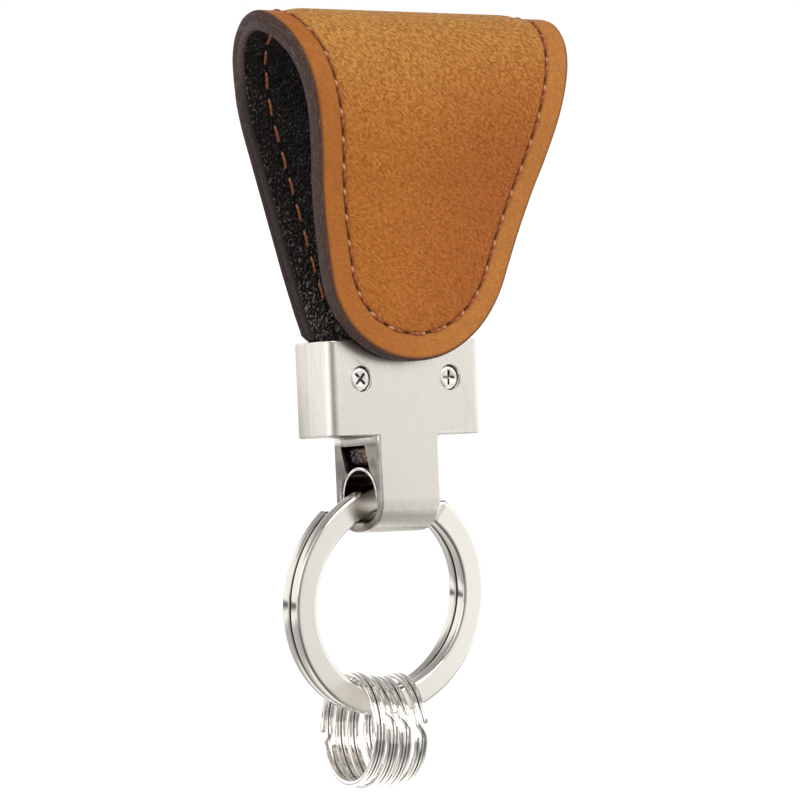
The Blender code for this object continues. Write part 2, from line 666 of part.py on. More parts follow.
def main():
    for old in list(bpy.data.objects):
        bpy.data.objects.remove(old, do_unlink=True)
    tan = material("tan leather", (0.44, 0.20, 0.035), 0.55)
    black = material("black lining", (0.012, 0.011, 0.011), 0.40)
    nickel = material("satin nickel", (0.66, 0.63, 0.60), 0.34, 1.0)
    steel = material("polished steel", (0.72, 0.71, 0.69), 0.16, 1.0)
    flap_pivot = empty_at("flap_pivot", FLAP_PIVOT)
    make_leather(tan, black, steel, flap_pivot)
    make_end_fitting(nickel)
    make_saddle(steel)
    for name, (x, z) in screw_places().items():
        make_screw(name, x, z, steel)
    tip_loop()
    main_pivot = empty_at("main_ring_pivot", HUNG_RING_PIVOT)
    make_main_ring(steel, main_pivot)
    make_small_rings(steel, main_pivot)
    print(f"flap turns about {tuple(round(v / MM, 3) for v in HUNG_FLAP_PIVOT)} mm")
    print(f"main ring turns about {tuple(round(v / MM, 3) for v in HUNG_RING_PIVOT)} mm")


main()
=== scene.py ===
# %% [markdown]
# # A belt-loop key holder in leather and nickel
# The real object is a strip of tan leather with a black lining, folded over a belt. Its lower end is screwed into a
# cast nickel fitting, a flat split ring runs through the fitting, and four thin split rings hang on that ring.
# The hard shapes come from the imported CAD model, which is loaded first and never moved. This script adds what CAD
# leaves out: the leather as a sewn strip, the thread, the rounded wire of the rings, and every finish.

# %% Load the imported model
import math

import bmesh
import bpy
import numpy as np
from mathutils import Matrix, Vector


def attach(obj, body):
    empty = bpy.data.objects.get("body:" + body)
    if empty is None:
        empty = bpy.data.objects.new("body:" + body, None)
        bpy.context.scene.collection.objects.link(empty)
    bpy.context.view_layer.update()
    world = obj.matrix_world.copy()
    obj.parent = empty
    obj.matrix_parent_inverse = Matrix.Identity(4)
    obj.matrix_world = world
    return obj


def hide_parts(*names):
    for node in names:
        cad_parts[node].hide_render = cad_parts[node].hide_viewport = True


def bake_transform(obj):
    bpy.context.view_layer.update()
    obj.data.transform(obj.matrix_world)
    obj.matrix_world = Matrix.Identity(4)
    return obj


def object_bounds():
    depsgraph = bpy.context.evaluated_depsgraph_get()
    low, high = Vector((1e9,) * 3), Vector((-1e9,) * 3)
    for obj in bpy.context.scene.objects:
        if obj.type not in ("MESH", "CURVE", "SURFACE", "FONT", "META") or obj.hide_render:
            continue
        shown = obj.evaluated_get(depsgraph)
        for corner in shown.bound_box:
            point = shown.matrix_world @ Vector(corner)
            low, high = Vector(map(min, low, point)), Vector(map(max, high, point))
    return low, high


MM = 0.001
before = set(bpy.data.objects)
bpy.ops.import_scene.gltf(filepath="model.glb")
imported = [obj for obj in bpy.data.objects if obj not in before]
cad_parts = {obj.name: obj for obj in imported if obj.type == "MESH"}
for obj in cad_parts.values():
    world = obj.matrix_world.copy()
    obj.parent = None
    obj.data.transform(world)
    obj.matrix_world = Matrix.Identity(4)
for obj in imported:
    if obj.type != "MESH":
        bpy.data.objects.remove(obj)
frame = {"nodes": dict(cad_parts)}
cad_box = [list(corner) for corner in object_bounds()]
print("CAD nodes:", ", ".join(sorted(frame["nodes"])))
print("CAD box in mm:", [[round(v / MM, 1) for v in corner] for corner in cad_box])

# %% [markdown]
# ## The camera
# A long lens from well over half a metre shows the holder from its front left and a little from above. The place,
# the roll and the lens were worked out from the fitting's corners and the ring, so that the picture lines up with
# the photo. The camera is set on the point that it looks at, turned, and moved back along its own axis.

# %% Place the camera
CAMERA_YAW_DEG = 37.0
CAMERA_RISE_DEG = 4.589
CAMERA_ROLL_DEG = 2.169
CAMERA_DISTANCE = 644.32 * MM
CAMERA_LENS_MM = 225.93
LOOK_AT = Vector((2.106, 0.0, -46.735)) * MM


def new_object(name, data):
    made = bpy.data.objects.new(name, data)
    bpy.context.scene.collection.objects.link(made)
    return made


yaw, rise, roll = (math.radians(v) for v in (CAMERA_YAW_DEG, CAMERA_RISE_DEG, CAMERA_ROLL_DEG))
lens = bpy.data.cameras.new("camera")
lens.lens, lens.clip_start, lens.clip_end = CAMERA_LENS_MM, 0.01, 50.0
camera = new_object("camera", lens)
aim = Matrix.Rotation(-yaw, 4, "Z") @ Matrix.Rotation(math.pi / 2 - rise, 4, "X") @ Matrix.Rotation(roll, 4, "Z")
camera.matrix_world = Matrix.Translation(LOOK_AT) @ aim @ Matrix.Translation((0, 0, CAMERA_DISTANCE))
bpy.context.scene.camera = camera
print("camera at mm:", [round(v / MM, 1) for v in camera.location])

# %% [markdown]
# ## Small helpers for meshes
# Every soft or round piece here is a loft: rings of points, one after the other, joined by quads. One helper makes
# them all. Values that belong to a point, such as "this is the burnished edge", travel as named attributes, and a
# material reads them by name. A Screw or Curve object would be shorter, but neither can carry such values.

# %% Loft helper
def keep_flat_places(mesh, flat_places):
    """Stores each point's place on its flat pattern, as the UV map "flat"."""
    corners = np.zeros(len(mesh.loops), np.int32)
    mesh.loops.foreach_get("vertex_index", corners)
    flat = flat_places.reshape(-1, 2)[corners]
    mesh.uv_layers.new(name="flat").data.foreach_set("uv", flat.astype(np.float32).ravel())


def tube_faces(grid):
    """The quads between rings of point numbers, an array of (rings, points), and the faces that close both ends."""
    turned = np.roll(grid, -1, axis=1)
    walls = np.stack([grid[:-1], turned[:-1], turned[1:], grid[1:]], -1).reshape(-1, 4).tolist()
    return walls + [grid[0, ::-1].tolist(), grid[-1].tolist()]


def loft(name, rows, close_end=True, marks=None, flat_places=None):
    """Joins rings of points, an array of (rings, points, 3), into one skin. marks are per-point values."""
    faces = tube_faces(np.arange(rows.shape[0] * rows.shape[1]).reshape(rows.shape[:2]))
    if not close_end:
        faces.pop()
    mesh = bpy.data.meshes.new(name)
    mesh.from_pydata(rows.reshape(-1, 3).tolist(), [], faces)
    for key, values in (marks or {}).items():
        mesh.attributes.new(key, "FLOAT", "POINT").data.foreach_set("value", values.astype(np.float32).ravel())
    if flat_places is not None:
        keep_flat_places(mesh, flat_places)
    mesh.shade_smooth()
    return new_object(name, mesh)


def clean_skin(piece, weld=None, sharp_deg=None):
    """Welds points that meet, turns all faces outwards and marks sharp edges."""
    skin = bmesh.new()
    skin.from_mesh(piece.data)
    if weld:
        bmesh.ops.remove_doubles(skin, verts=skin.verts, dist=weld)
        bmesh.ops.dissolve_degenerate(skin, edges=skin.edges, dist=weld)
    bmesh.ops.recalc_face_normals(skin, faces=skin.faces)
    skin.to_mesh(piece.data)
    skin.free()
    if sharp_deg is not None:
        piece.data.set_sharp_from_angle(angle=math.radians(sharp_deg))
    return piece


# %% [markdown]
# ## The strip of leather, first as a flat pattern
# A maker cuts the strip flat: two straight sides that spread towards the fold, and a round tip. It is then folded.
# So a place on the leather is given by how far along the strip it is and how far from its middle line, and one
# function bends the flat pattern into the folded shape. The outline, the sewing line and the stitches are all
# worked out on the flat pattern, which keeps them parallel to the edge all the way round the tip. Last of all the
# folded strip is tipped by 8 degrees, as the loop hangs on a belt with the weight of the rings below it.

# %% Where the strip runs
STRIP_START_Z = -49.3  # mm, inside the fitting's sleeve
# (y, z) knots in mm along the middle of the strip, upright: up the back, over the belt, down the flap
STRIP_KNOTS = (
    (6.5, STRIP_START_Z), (6.5, -38), (6.5, -26), (6.5, -14), (6.5, -9), (6.5, -6.5), (6.42, -4.6), (6.08, -2.95),
    (5.0, -1.0), (3.3, 0.5), (1.7, 1.12), (0.0, 1.24), (-1.65, 0.88), (-3.15, 0.16), (-4.85, -1.25), (-5.9, -2.7),
    (-6.6, -4.4), (-6.92, -6.4), (-6.9, -8.5), (-6.6, -10.6), (-6.1, -12.5), (-5.4, -14.6), (-4.7, -16.5),
    (-3.65, -19), (-2.65, -22), (-1.85, -24.7), (-1.2, -27.4), (-0.55, -30.4), (0.05, -34), (0.45, -37.5),
    (0.55, -40.5), (0.55, -43.5),
)
RIM_Z = -38.7 * MM  # top of the sleeve
TIP_Z = -41.6 * MM
HALF_WIDTH_AT_RIM = 11.85 * MM
SIDE_SLOPE = 0.2663
HALF_WIDTH_IN_SLEEVE = 10.9 * MM
# (mm along the strip, mm added to the half-width): the back panel is fuller than the straight cut of the flap
FULLNESS = (
    (0, 0.25), (10.6, 0.25), (14.3, 0.5), (19.3, 0.75), (24.3, 0.85), (29.3, 0.95), (34.3, 1.05), (37.3, 1.1),
    (40.5, 0.92), (43.0, 0.5), (45.5, 0.1), (49, -0.1), (52, -0.05), (54.5, 0.2), (57, 0.36), (60, 0.2),
    (64, -0.04), (68, -0.12), (76, -0.05), (84, 0.0), (120, 0.0),
)
STRIP_KNOT_STEPS, FULLNESS_KNOT_STEPS = 60, 20
FOLD_DEPTH = 6 * MM  # how far the fold reaches down from the top, on either side
LOOP_LEAN = math.radians(-8.0)

print("knots along the strip:", len(STRIP_KNOTS))

# %% [markdown]
# ## From flat to folded
# The knots are joined into one smooth line, and the length along it is measured. A place on the flat pattern then
# becomes a place in the air: so far along the line, so far to the side, and so high above the middle of the leather.

# %% Bend the flat pattern
side_lean = math.atan(SIDE_SLOPE)
tip_radius = (HALF_WIDTH_AT_RIM + SIDE_SLOPE * (TIP_Z - RIM_Z)) / (1 / math.cos(side_lean) - SIDE_SLOPE)
tip_centre_z = TIP_Z + tip_radius


def smooth_step(value):
    way = np.clip(value, 0.0, 1.0)
    return way * way * (3 - 2 * way)


def bell(value, width):
    return np.exp(-((value / width) ** 2))


def length_run(first, second):
    """How long a flat line is up to each of its points."""
    return np.concatenate([[0], np.cumsum(np.hypot(np.diff(first), np.diff(second)))])


def smooth_through(knots, steps):
    """A smooth line through the knots, in the manner of Catmull and Rom, with so many steps between two knots."""
    knots = np.array(knots, float)
    knots = np.vstack([2 * knots[0] - knots[1], knots, 2 * knots[-1] - knots[-2]])
    share = np.linspace(0, 1, steps, endpoint=False)[:, None]
    parts = []
    for before, start, end, after in zip(knots, knots[1:], knots[2:], knots[3:]):
        bend = (2 * before - 5 * start + 4 * end - after) * share**2 + (3 * (start - end) + after - before) * share**3
        parts.append(start + 0.5 * ((end - before) * share + bend))
    return np.vstack(parts + [knots[-2:-1]])


run_y, run_z = (smooth_through(STRIP_KNOTS, STRIP_KNOT_STEPS) * MM).T
run_length = length_run(run_y, run_z)
ahead_y, ahead_z = np.gradient(run_y, run_length), np.gradient(run_z, run_length)
top = int(np.argmax(run_z))
fullness = smooth_through(FULLNESS, FULLNESS_KNOT_STEPS) * MM


def tip_with_loop(x, y, z):
    """Turns upright places about the belt's seat, as the loop hangs."""
    cosine, sine = math.cos(LOOP_LEAN), math.sin(LOOP_LEAN)
    return np.stack([x, y * cosine - z * sine, y * sine + z * cosine], -1)


def fold_up(along, across, height):
    """Bends flat places into the folded strip. height is measured outwards from the middle of the leather."""
    at = [np.interp(along, run_length, v) for v in (run_y, run_z, ahead_y, ahead_z)]
    return tip_with_loop(across, at[0] + at[3] * height, at[1] - at[2] * height)


def height_at(along):
    return np.interp(along, run_length, run_z)


def length_at(z):
    """How far along the strip the flap reaches this height."""
    return np.interp(-z, -run_z[top:], run_length[top:])


leaves_back = float(np.interp(-FOLD_DEPTH, run_z[:top], run_length[:top]))
reaches_flap = float(length_at(-FOLD_DEPTH))
print("length of the strip in mm:", round(float(length_at(TIP_Z)) / MM, 1))

# %% [markdown]
# ## The outline
# The sides of the flap are straight, and the back panel is a little fuller, which FULLNESS adds. Inside the sleeve
# the strip is cut narrower. The inward direction at each place of the outline comes from the outline itself, so a
# line can be drawn at any distance from the edge, as a maker does with dividers.

# %% The outline of the flat pattern
ROW_STEP = 0.42 * MM
TIP_STEPS = 42
NARROWS_BELOW_RIM, NARROWS_OVER = 0.4 * MM, 1.3 * MM


def half_width(along):
    straight = HALF_WIDTH_AT_RIM + SIDE_SLOPE * (height_at(along) - RIM_Z)
    return straight + np.interp(along, fullness[:, 0], fullness[:, 1])


def outline_of_pattern():
    """(along, half width, width with the narrow end) for each row, from the sleeve to the tip."""
    straight_end = float(length_at(tip_centre_z - tip_radius * math.sin(side_lean)))
    along = np.linspace(0, straight_end, int(straight_end / ROW_STEP))[:-1]
    plain = half_width(along)
    above = height_at(along) - RIM_Z + NARROWS_BELOW_RIM
    narrowed = HALF_WIDTH_IN_SLEEVE + (plain - HALF_WIDTH_IN_SLEEVE) * smooth_step(above / NARROWS_OVER)
    cut = np.where(along < leaves_back, narrowed, plain)
    angle = np.linspace(math.pi / 2 - side_lean, 0, TIP_STEPS)
    tip_along = length_at(tip_centre_z - tip_radius * np.cos(angle))
    tip_half = tip_radius * np.sin(angle)
    return np.append(along, tip_along), np.append(plain, tip_half), np.append(cut, tip_half)


row_along, row_plain, row_half = outline_of_pattern()
step_along, step_half = np.gradient(row_along), np.gradient(row_plain)
step_along[-1], step_half[-1] = 0.0, -1.0
step_size = np.hypot(step_along, step_half)
inward_along, inward_across = step_half / step_size, -step_along / step_size
row_edge_run = length_run(row_along, row_half)
print("rows along the strip:", len(row_along))

# %% [markdown]
# ## Sewing line
# The seam runs 3.5 mm in from the edge with a stitch every 3.45 mm. Each needle hole pulls the leather down, which
# gives the scalloped look of a sewn edge. The same phase along the seam drives the dips in the mesh, the painted
# shade of the holes in the finish and the places of the threads, so they always agree.

# %% Stitch spacing
SEAM_INSET = 3.5 * MM
STITCH_PITCH = 3.45 * MM
HOLE_LENGTH, HOLE_WIDTH = 0.80 * MM, 0.15 * MM

seam_along = row_along + inward_along * SEAM_INSET
seam_across = row_plain + inward_across * SEAM_INSET
seam_length = length_run(seam_along, seam_across)
seam_phase = (seam_length[-1] - seam_length) / STITCH_PITCH + 0.5  # whole numbers are needle holes
hole_nearness = bell((seam_phase - np.round(seam_phase)) * STITCH_PITCH, HOLE_LENGTH)
print("stitches on each side:", int(seam_phase[0]))

# %% [markdown]
# ## One layer of leather
# The strip has two layers. Each is lofted from cross-sections: up the cut edge, over a rounded shoulder, flat to the
# seam with its small groove, then across the padded middle. A Solidify modifier on a flat sheet would be quicker,
# but it gives every edge the same square shape, and the worn, rounded edge is what the eye reads as leather.

# %% Loft a layer
LAYER_TOP = 1.30 * MM  # from the middle of the strip to its face
WELD_DISTANCE = 0.001 * MM
# (distance from the edge, height above the middle of the strip), from inside the strip out and up the cut edge
EDGE_WALL = np.array([
    (1.20, 0.005), (0.03, 0.005), (0.0, 0.03), (-0.01, 0.2), (-0.01, 0.6), (0.02, 0.9), (0.09, 1.09), (0.2, 1.21),
    (0.34, 1.28),
]) * MM
FACE_INSETS = np.array([0.5, 0.8, 1.2, 1.8, 2.5, 2.9, 3.15, 3.3, 3.4, 3.5, 3.6, 3.7, 3.85, 4.1, 4.5, 5.2]) * MM
MIDDLE_POINTS, MIDDLE_INSET = 36, 9 * MM
GROOVE_WIDTH = 0.24 * MM
CUT_FADES = 2.9 * MM  # this far from the edge, nothing follows the narrow end any more
PAD_START, PAD_END = 3.55 * MM, 6.8 * MM
# where a mark lies from the edge, and how softly it ends
PAINT_ENDS, PAINT_SOFT = 0.20 * MM, 0.14 * MM
LINE_AT, LINE_WIDTH = 0.34 * MM, 0.13 * MM
BORDER_ENDS, BORDER_SOFT = 3.2 * MM, 0.6 * MM


def distance_to_edge(along, across):
    """How far a flat place lies from the strip's edge."""
    half = np.interp(along, row_along, row_plain)
    to_side = (half - np.abs(across)) * math.cos(side_lean)
    below = tip_centre_z - height_at(along)
    in_tip = (along > reaches_flap) & (below * math.tan(math.pi / 2 - side_lean) > np.abs(across))
    return np.where(in_tip, tip_radius - np.hypot(across, below), to_side)


def layer_of_leather(name, side, pad, groove, dip):
    """One layer, lofted row by row. side is 1 for the outer leather and -1 for the lining."""
    insets = np.concatenate([EDGE_WALL[:, 0], FACE_INSETS])
    lifts = np.concatenate([EDGE_WALL[:, 1], np.full(len(FACE_INSETS), LAYER_TOP)])
    along = row_along[:, None] + inward_along[:, None] * insets
    uncut = smooth_step(insets / CUT_FADES)
    across = row_half[:, None] + (row_plain - row_half)[:, None] * uncut + inward_across[:, None] * insets
    shares = np.linspace(1, -1, MIDDLE_POINTS + 2)[1:-1]
    along = np.concatenate([along, np.repeat(along[:, -1:], MIDDLE_POINTS, 1), along[:, ::-1]], 1)
    across = np.concatenate([across, across[:, -1:] * shares, -across[:, ::-1]], 1)
    inset = np.concatenate([insets, np.full(MIDDLE_POINTS, MIDDLE_INSET), insets[::-1]])
    lift = np.concatenate([lifts, np.full(MIDDLE_POINTS, LAYER_TOP), lifts[::-1]])
    seam = bell(inset - SEAM_INSET, GROOVE_WIDTH)
    holes = hole_nearness[:, None] * bell(inset - SEAM_INSET, HOLE_WIDTH)
    raised = pad * smooth_step((distance_to_edge(along, across) - PAD_START) / (PAD_END - PAD_START))
    on_face = lift >= LAYER_TOP
    height = lift + np.where(on_face, raised - groove * seam - dip * holes, 0)
    marks = {
        "edge_paint": 1 - smooth_step((inset - PAINT_ENDS) / PAINT_SOFT),
        "paint_line": bell(inset - LINE_AT, LINE_WIDTH),
        "border": 1 - smooth_step((inset - BORDER_ENDS) / BORDER_SOFT),
        "needle_hole": holes,
        "seam": seam,
        "edge_run": row_edge_run[:, None] / MM,
        "depth": side * lift / MM,
    }
    marks = {key: np.broadcast_to(values, across.shape) for key, values in marks.items()}
    pattern = np.stack([across / MM, along / MM], -1)
    piece = loft(name, fold_up(along, across, side * height), close_end=False, marks=marks, flat_places=pattern)
    return clean_skin(piece, weld=WELD_DISTANCE)


outer_leather = layer_of_leather("outer_leather", 1, pad=0.40 * MM, groove=0.15 * MM, dip=0.18 * MM)
lining = layer_of_leather("lining", -1, pad=0.0, groove=0.08 * MM, dip=0.04 * MM)
for piece in (outer_leather, lining):
    print(piece.name, "has", len(piece.data.vertices), "points")

# %% [markdown]
# ## One piece for both halves
# The flap turns on the fold. CAD splits each layer there into two stiff halves. The real strip is one piece, so each
# layer here stands for both halves, whose CAD nodes are hidden.

# %% Let one layer stand for both halves
BODY, FLAP = "loop_and_fitting", "flap"


def bend_at_fold(piece):
    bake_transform(piece)


for piece, slot, nodes in (
    (outer_leather, "tan_leather", ("outer_leather_back", "outer_leather_flap")),
    (lining, "black_lining", ("lining_back", "lining_flap")),
):
    bend_at_fold(piece)
    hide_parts(*nodes)
    print(piece.name, "stands for", " and ".join(nodes))

# %% [markdown]
# ## The thread
# A lockstitch shows as short, plump dashes that dive into the holes, each a little askew. Every dash is a small bent
# tube of its own. It is swept along the seam on the flat pattern and folded up with the leather.

# %% Sew the seam
THREAD_TURN = np.linspace(0, math.tau, 8, endpoint=False)
STITCH_SHARES = np.linspace(0, 1, 9)
STITCH_RISE, STITCH_SINK = 0.33 * MM, 0.28 * MM
SEAM_STARTS = RIM_Z + 1.2 * MM - STRIP_START_Z * MM  # along the strip, just above the sleeve
OUTER_COVER, LINING_COVER = 0.66, 0.68


def unit(vectors):
    return vectors / np.linalg.norm(vectors, axis=1)[:, None]


def stitch(number, hand, side, cover, thickness, slant):
    """One dash as rings of points. number counts along the seam, and hand is its side of the middle line."""
    tip_phase = seam_phase.min()
    phase = number + 0.5 + (STITCH_SHARES - 0.5) * cover
    past_tip = phase < tip_phase
    used = np.where(past_tip, 2 * tip_phase - phase, phase)
    hands = np.where(past_tip, -hand, hand)
    along = np.interp(-used, -seam_phase, seam_along)
    across = np.interp(-used, -seam_phase, seam_across) * hands
    arch = np.sin(math.pi * STITCH_SHARES)
    lift = LAYER_TOP + STITCH_RISE * arch**0.6 - STITCH_SINK
    centre = fold_up(along, across + slant * (STITCH_SHARES - 0.5) * hands, side * lift)
    out = unit(fold_up(along, across, side * (lift + MM)) - fold_up(along, across, side * lift))
    ahead = unit(np.gradient(centre, axis=0))
    beside = unit(np.cross(ahead, out))
    out = np.cross(beside, ahead)
    girth = (thickness / 2 * (0.72 + 0.28 * arch**0.5))[:, None, None]
    turn = THREAD_TURN[None, :, None]
    return centre[:, None] + girth * (np.cos(turn) * beside[:, None] + np.sin(turn) * out[:, None])


def sew(name, side, cover, thickness, slant):
    """All the stitches on one face. cover is the share of the pitch that each dash spans."""
    first, last = math.ceil(seam_phase.min()), int(seam_phase[np.searchsorted(row_along, SEAM_STARTS)])
    numbers = [(number, hand) for hand in (1, -1) for number in range(first - (hand == 1), last)]
    stitches = np.array([stitch(number, hand, side, cover, thickness, slant) for number, hand in numbers])
    grids = np.arange(stitches[..., 0].size).reshape(stitches.shape[:3])
    mesh = bpy.data.meshes.new(name)
    mesh.from_pydata(stitches.reshape(-1, 3).tolist(), [], [face for grid in grids for face in tube_faces(grid)])
    reach = np.linspace(0, cover * STITCH_PITCH / MM, len(STITCH_SHARES))
    one = np.stack(np.broadcast_arrays(reach[:, None], THREAD_TURN / math.tau), -1)
    keep_flat_places(mesh, np.tile(one, (len(stitches), 1, 1, 1)))
    mesh.shade_smooth()
    print(name, "has", len(stitches), "stitches")
    return clean_skin(new_object(name, mesh))


outer_thread = sew("outer_thread", 1, OUTER_COVER, thickness=0.40 * MM, slant=0.16 * MM)
lining_thread = sew("lining_thread", -1, LINING_COVER, thickness=0.40 * MM, slant=0.12 * MM)
for piece in (outer_thread, lining_thread):
    bend_at_fold(piece)

# %% [markdown]
# ## Leather tail in the fitting's window
# The narrow end of the strip is turned over the steel saddle that the ring hangs on. It shows through the window on
# each side of the block: black lining leather, crackled by the tight bend, with the tan side at the front. It is a
# short loft that fills the window and stays clear of the metal.

# %% Fill the window
TAIL_HALF_WIDTH = 4.15 * MM
TAIL_FRONT_Y, TAIL_BACK_Y = 4.75 * MM, 10.35 * MM
TAIL_TOP_Z, TAIL_FOOT_Z = -52.12 * MM, -54.42 * MM
TAIL_LEAN = 0.75 * MM
TAIL_CORNER = 0.22  # 1 gives an oval, and less gives squarer corners


def leather_tail():
    """Rounded oblongs, lofted across the block, and a little smaller at both ends."""
    turn = np.linspace(0, math.tau, 48, endpoint=False)
    share_y, share_z = (np.sign(v) * np.abs(v) ** TAIL_CORNER for v in (np.cos(turn), np.sin(turn)))
    middle_y, half_y = (TAIL_FRONT_Y + TAIL_BACK_Y) / 2, (TAIL_BACK_Y - TAIL_FRONT_Y) / 2
    middle_z, half_z = (TAIL_TOP_Z + TAIL_FOOT_Z) / 2, (TAIL_TOP_Z - TAIL_FOOT_Z) / 2
    rows = []
    for share in np.linspace(-1, 1, 33):
        shrink = 1 - abs(share) ** 8 * 0.3
        z = middle_z + half_z * share_z * shrink
        y = middle_y + half_y * share_y * shrink + TAIL_LEAN * (z - TAIL_TOP_Z) / (TAIL_TOP_Z - TAIL_FOOT_Z)
        rows.append(tip_with_loop(np.full_like(y, TAIL_HALF_WIDTH * share), y, z))
    return clean_skin(loft("leather_tail", np.array(rows)), sharp_deg=50)


tail = leather_tail()
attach(tail, BODY)
print("tail points:", len(tail.data.vertices))

# %% [markdown]
# ## Split rings with rounded wire
# A split ring is one flat wire wound twice, with a step where it passes from one layer to the other. CAD gives the
# wire plain chamfers. In polished metal each corner shows as a line of light, so the wire is wound again here with a
# rounded section, along the same path. The section has two points of its own on each flat, close to the corners, so
# that smooth shading stays on the corners and leaves the flats flat. The cut ends are eased, and may stand apart.

# %% Wind a ring
WIRE_CORNER_STEPS = 5
FLAT_SHARES = (0.06, 0.94)
SPLAY_DEG = 24


def wire_section(radial, axial, corner):
    """(radial, axial, rim) points round a flat wire. rim is 1 on the rounded edges and 0 on the flat faces."""
    points = []
    for quarter, (side_r, side_a) in enumerate(((1, 1), (-1, 1), (-1, -1), (1, -1))):
        for i in range(WIRE_CORNER_STEPS + 1):
            angle = math.radians(90 * quarter + 90 * i / WIRE_CORNER_STEPS)
            r = side_r * (radial / 2 - corner) + corner * math.cos(angle)
            a = side_a * (axial / 2 - corner) + corner * math.sin(angle)
            points.append((r, a, abs(math.cos(angle))))
    points = np.array(points).reshape(4, -1, 3)
    flat = np.roll(points, -1, axis=0)[:, :1] - points[:, -1:]
    return np.concatenate([points] + [points[:, -1:] + share * flat for share in FLAT_SHARES], 1).reshape(-1, 3)


def wind_ring(name, band_radius, section, pitch, jog_start_deg, jog_span_deg, step_deg, gap_shade_reach, splay=0.0):
    """Two turns about Y: front layer, step over, back layer. The argument after step_deg is how far the painted shade
    between the turns reaches.
    """
    whole = 720 - jog_span_deg
    turned = np.linspace(0, whole, int(round(whole / step_deg)) + 1)
    layer = pitch * (smooth_step((turned - (360 - jog_span_deg)) / jog_span_deg) - 0.5)
    layer += splay * (smooth_step(1 - (whole - turned) / SPLAY_DEG) - smooth_step(1 - turned / SPLAY_DEG))
    angle = np.radians(jog_start_deg - jog_span_deg - turned)
    ease = np.minimum(1, np.minimum(turned, whole - turned) / step_deg + 0.75)
    radius = band_radius + section[:, 0] * ease[:, None]
    depth = layer[:, None] + section[:, 1] * ease[:, None]
    rows = np.stack([radius * np.cos(angle)[:, None], depth, radius * np.sin(angle)[:, None]], -1)
    between = 1 - smooth_step(np.abs(depth) / gap_shade_reach - 0.5)
    return loft(name, rows, marks={"rim": np.broadcast_to(section[:, 2], radius.shape), "between": between})


def settle(ring, matrix, body, node):
    """Moves a wound ring to its place, and lets it ride on its body in place of its CAD node."""
    ring.data.transform(matrix)
    clean_skin(ring, sharp_deg=40)
    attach(ring, body)
    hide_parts(node)


MAIN_CENTRE = Vector((0, -1.012, -72.174)) * MM
main_ring = wind_ring("main_ring_wire", 13.3 * MM, wire_section(3.4 * MM, 1.6 * MM, corner=0.5 * MM),
                      pitch=1.75 * MM, jog_start_deg=128, jog_span_deg=69, step_deg=2.0, gap_shade_reach=0.22 * MM)
settle(main_ring, Matrix.Translation(MAIN_CENTRE), "main_ring", "main_split_ring")
print("main ring points:", len(main_ring.data.vertices))

# %% [markdown]
# ## Small rings
# The four small rings hang side by side from the lowest part of the large one, each with its wire ends at another
# place, and all turned slightly away from square.

# %% Hang the small rings
# (x and z in mm where each ring hangs, degrees where its wire steps over)
SMALL_PIVOTS = ((-4.1, -84.826, -12), (-2.05, -85.315, 164), (0.0, -85.474, 168), (2.563, -85.225, 180))
SMALL_DROP = 4.0 * MM
SMALL_TURN_DEG = 7.5
small_section = wire_section(0.75 * MM, 0.80 * MM, corner=0.34 * MM)
small_rings = []
for number, (x, z, jog) in enumerate(SMALL_PIVOTS, 1):
    ring = wind_ring(f"small_ring_{number}_wire", 6.975 * MM, small_section, pitch=0.92 * MM, jog_start_deg=jog,
                     jog_span_deg=14, step_deg=2.8, gap_shade_reach=0.09 * MM, splay=0.2 * MM)
    face = Matrix.Rotation(math.radians(90 - SMALL_TURN_DEG), 4, "Z")
    place = Matrix.Translation(Vector((x * MM, MAIN_CENTRE.y, z * MM - SMALL_DROP)))
    settle(ring, place @ face, f"small_ring_{number}", f"small_split_ring_{number}")
    small_rings.append(ring)
print("small rings:", len(small_rings))

# %% [markdown]
# ## Effects that several finishes share
# Grain, brush lines and slow clouds of tone turn up in more than one finish, so each is a node group with named
# inputs and outputs. A group is built once and placed in every material that needs it, with its own values.
# The short helpers come first. Each adds one node, in the tree of the values that it is given.

# %% Node helpers
def put(socket, value):
    """Links a socket, or sets its own value. A colour may come without its alpha."""
    if isinstance(value, bpy.types.NodeSocket):
        socket.id_data.links.new(value, socket)
    elif socket.type == "RGBA":
        socket.default_value = (*value[:3], 1.0)
    else:
        socket.default_value = value


def add_node(kind, sockets=(), tree=None, **settings):
    """Adds a node, in the tree of the sockets that it is linked to. sockets are in order or a dictionary."""
    pairs = list(sockets.items() if isinstance(sockets, dict) else enumerate(sockets))
    tree = tree or next(value.id_data for _, value in pairs if isinstance(value, bpy.types.NodeSocket))
    node = tree.nodes.new("ShaderNode" + kind)
    for key, value in settings.items():
        setattr(node, key, value)
    for key, value in pairs:
        put(node.inputs[key], value)
    return node


def add_math(operation, *values):
    return add_node("Math", values, operation=operation).outputs[0]


def times(product, *factors):
    for factor in factors:
        product = add_math("MULTIPLY", product, factor)
    return product


def add_vector_math(operation, *values):
    node = add_node("VectorMath", values, operation=operation)
    return node.outputs["Value" if operation in ("LENGTH", "DOT_PRODUCT") else "Vector"]


def parts_of(vector):
    """The x, y and z of a vector."""
    return add_node("SeparateXYZ", (vector,)).outputs


# %% [markdown]
# ## Masks and coats of colour
# A range turns one number into another, and so makes a mask: 1 where a colour shows and 0 where it doesn't. Colours
# are then laid over each other like coats of dye, each with its own mask and strength.

# %% Tone and texture helpers
def add_range(value, low, high, out_low=0.0, out_high=1.0, kind="SMOOTHSTEP"):
    """Maps low...high to out_low...out_high, clamped."""
    return add_node("MapRange", (value, low, high, out_low, out_high), interpolation_type=kind).outputs[0]


def in_band(value, rise, fall):
    """1 inside a band and 0 outside. rise and fall are the two values that each of its sides blends between."""
    return times(add_range(value, *rise), add_range(value, *fall))


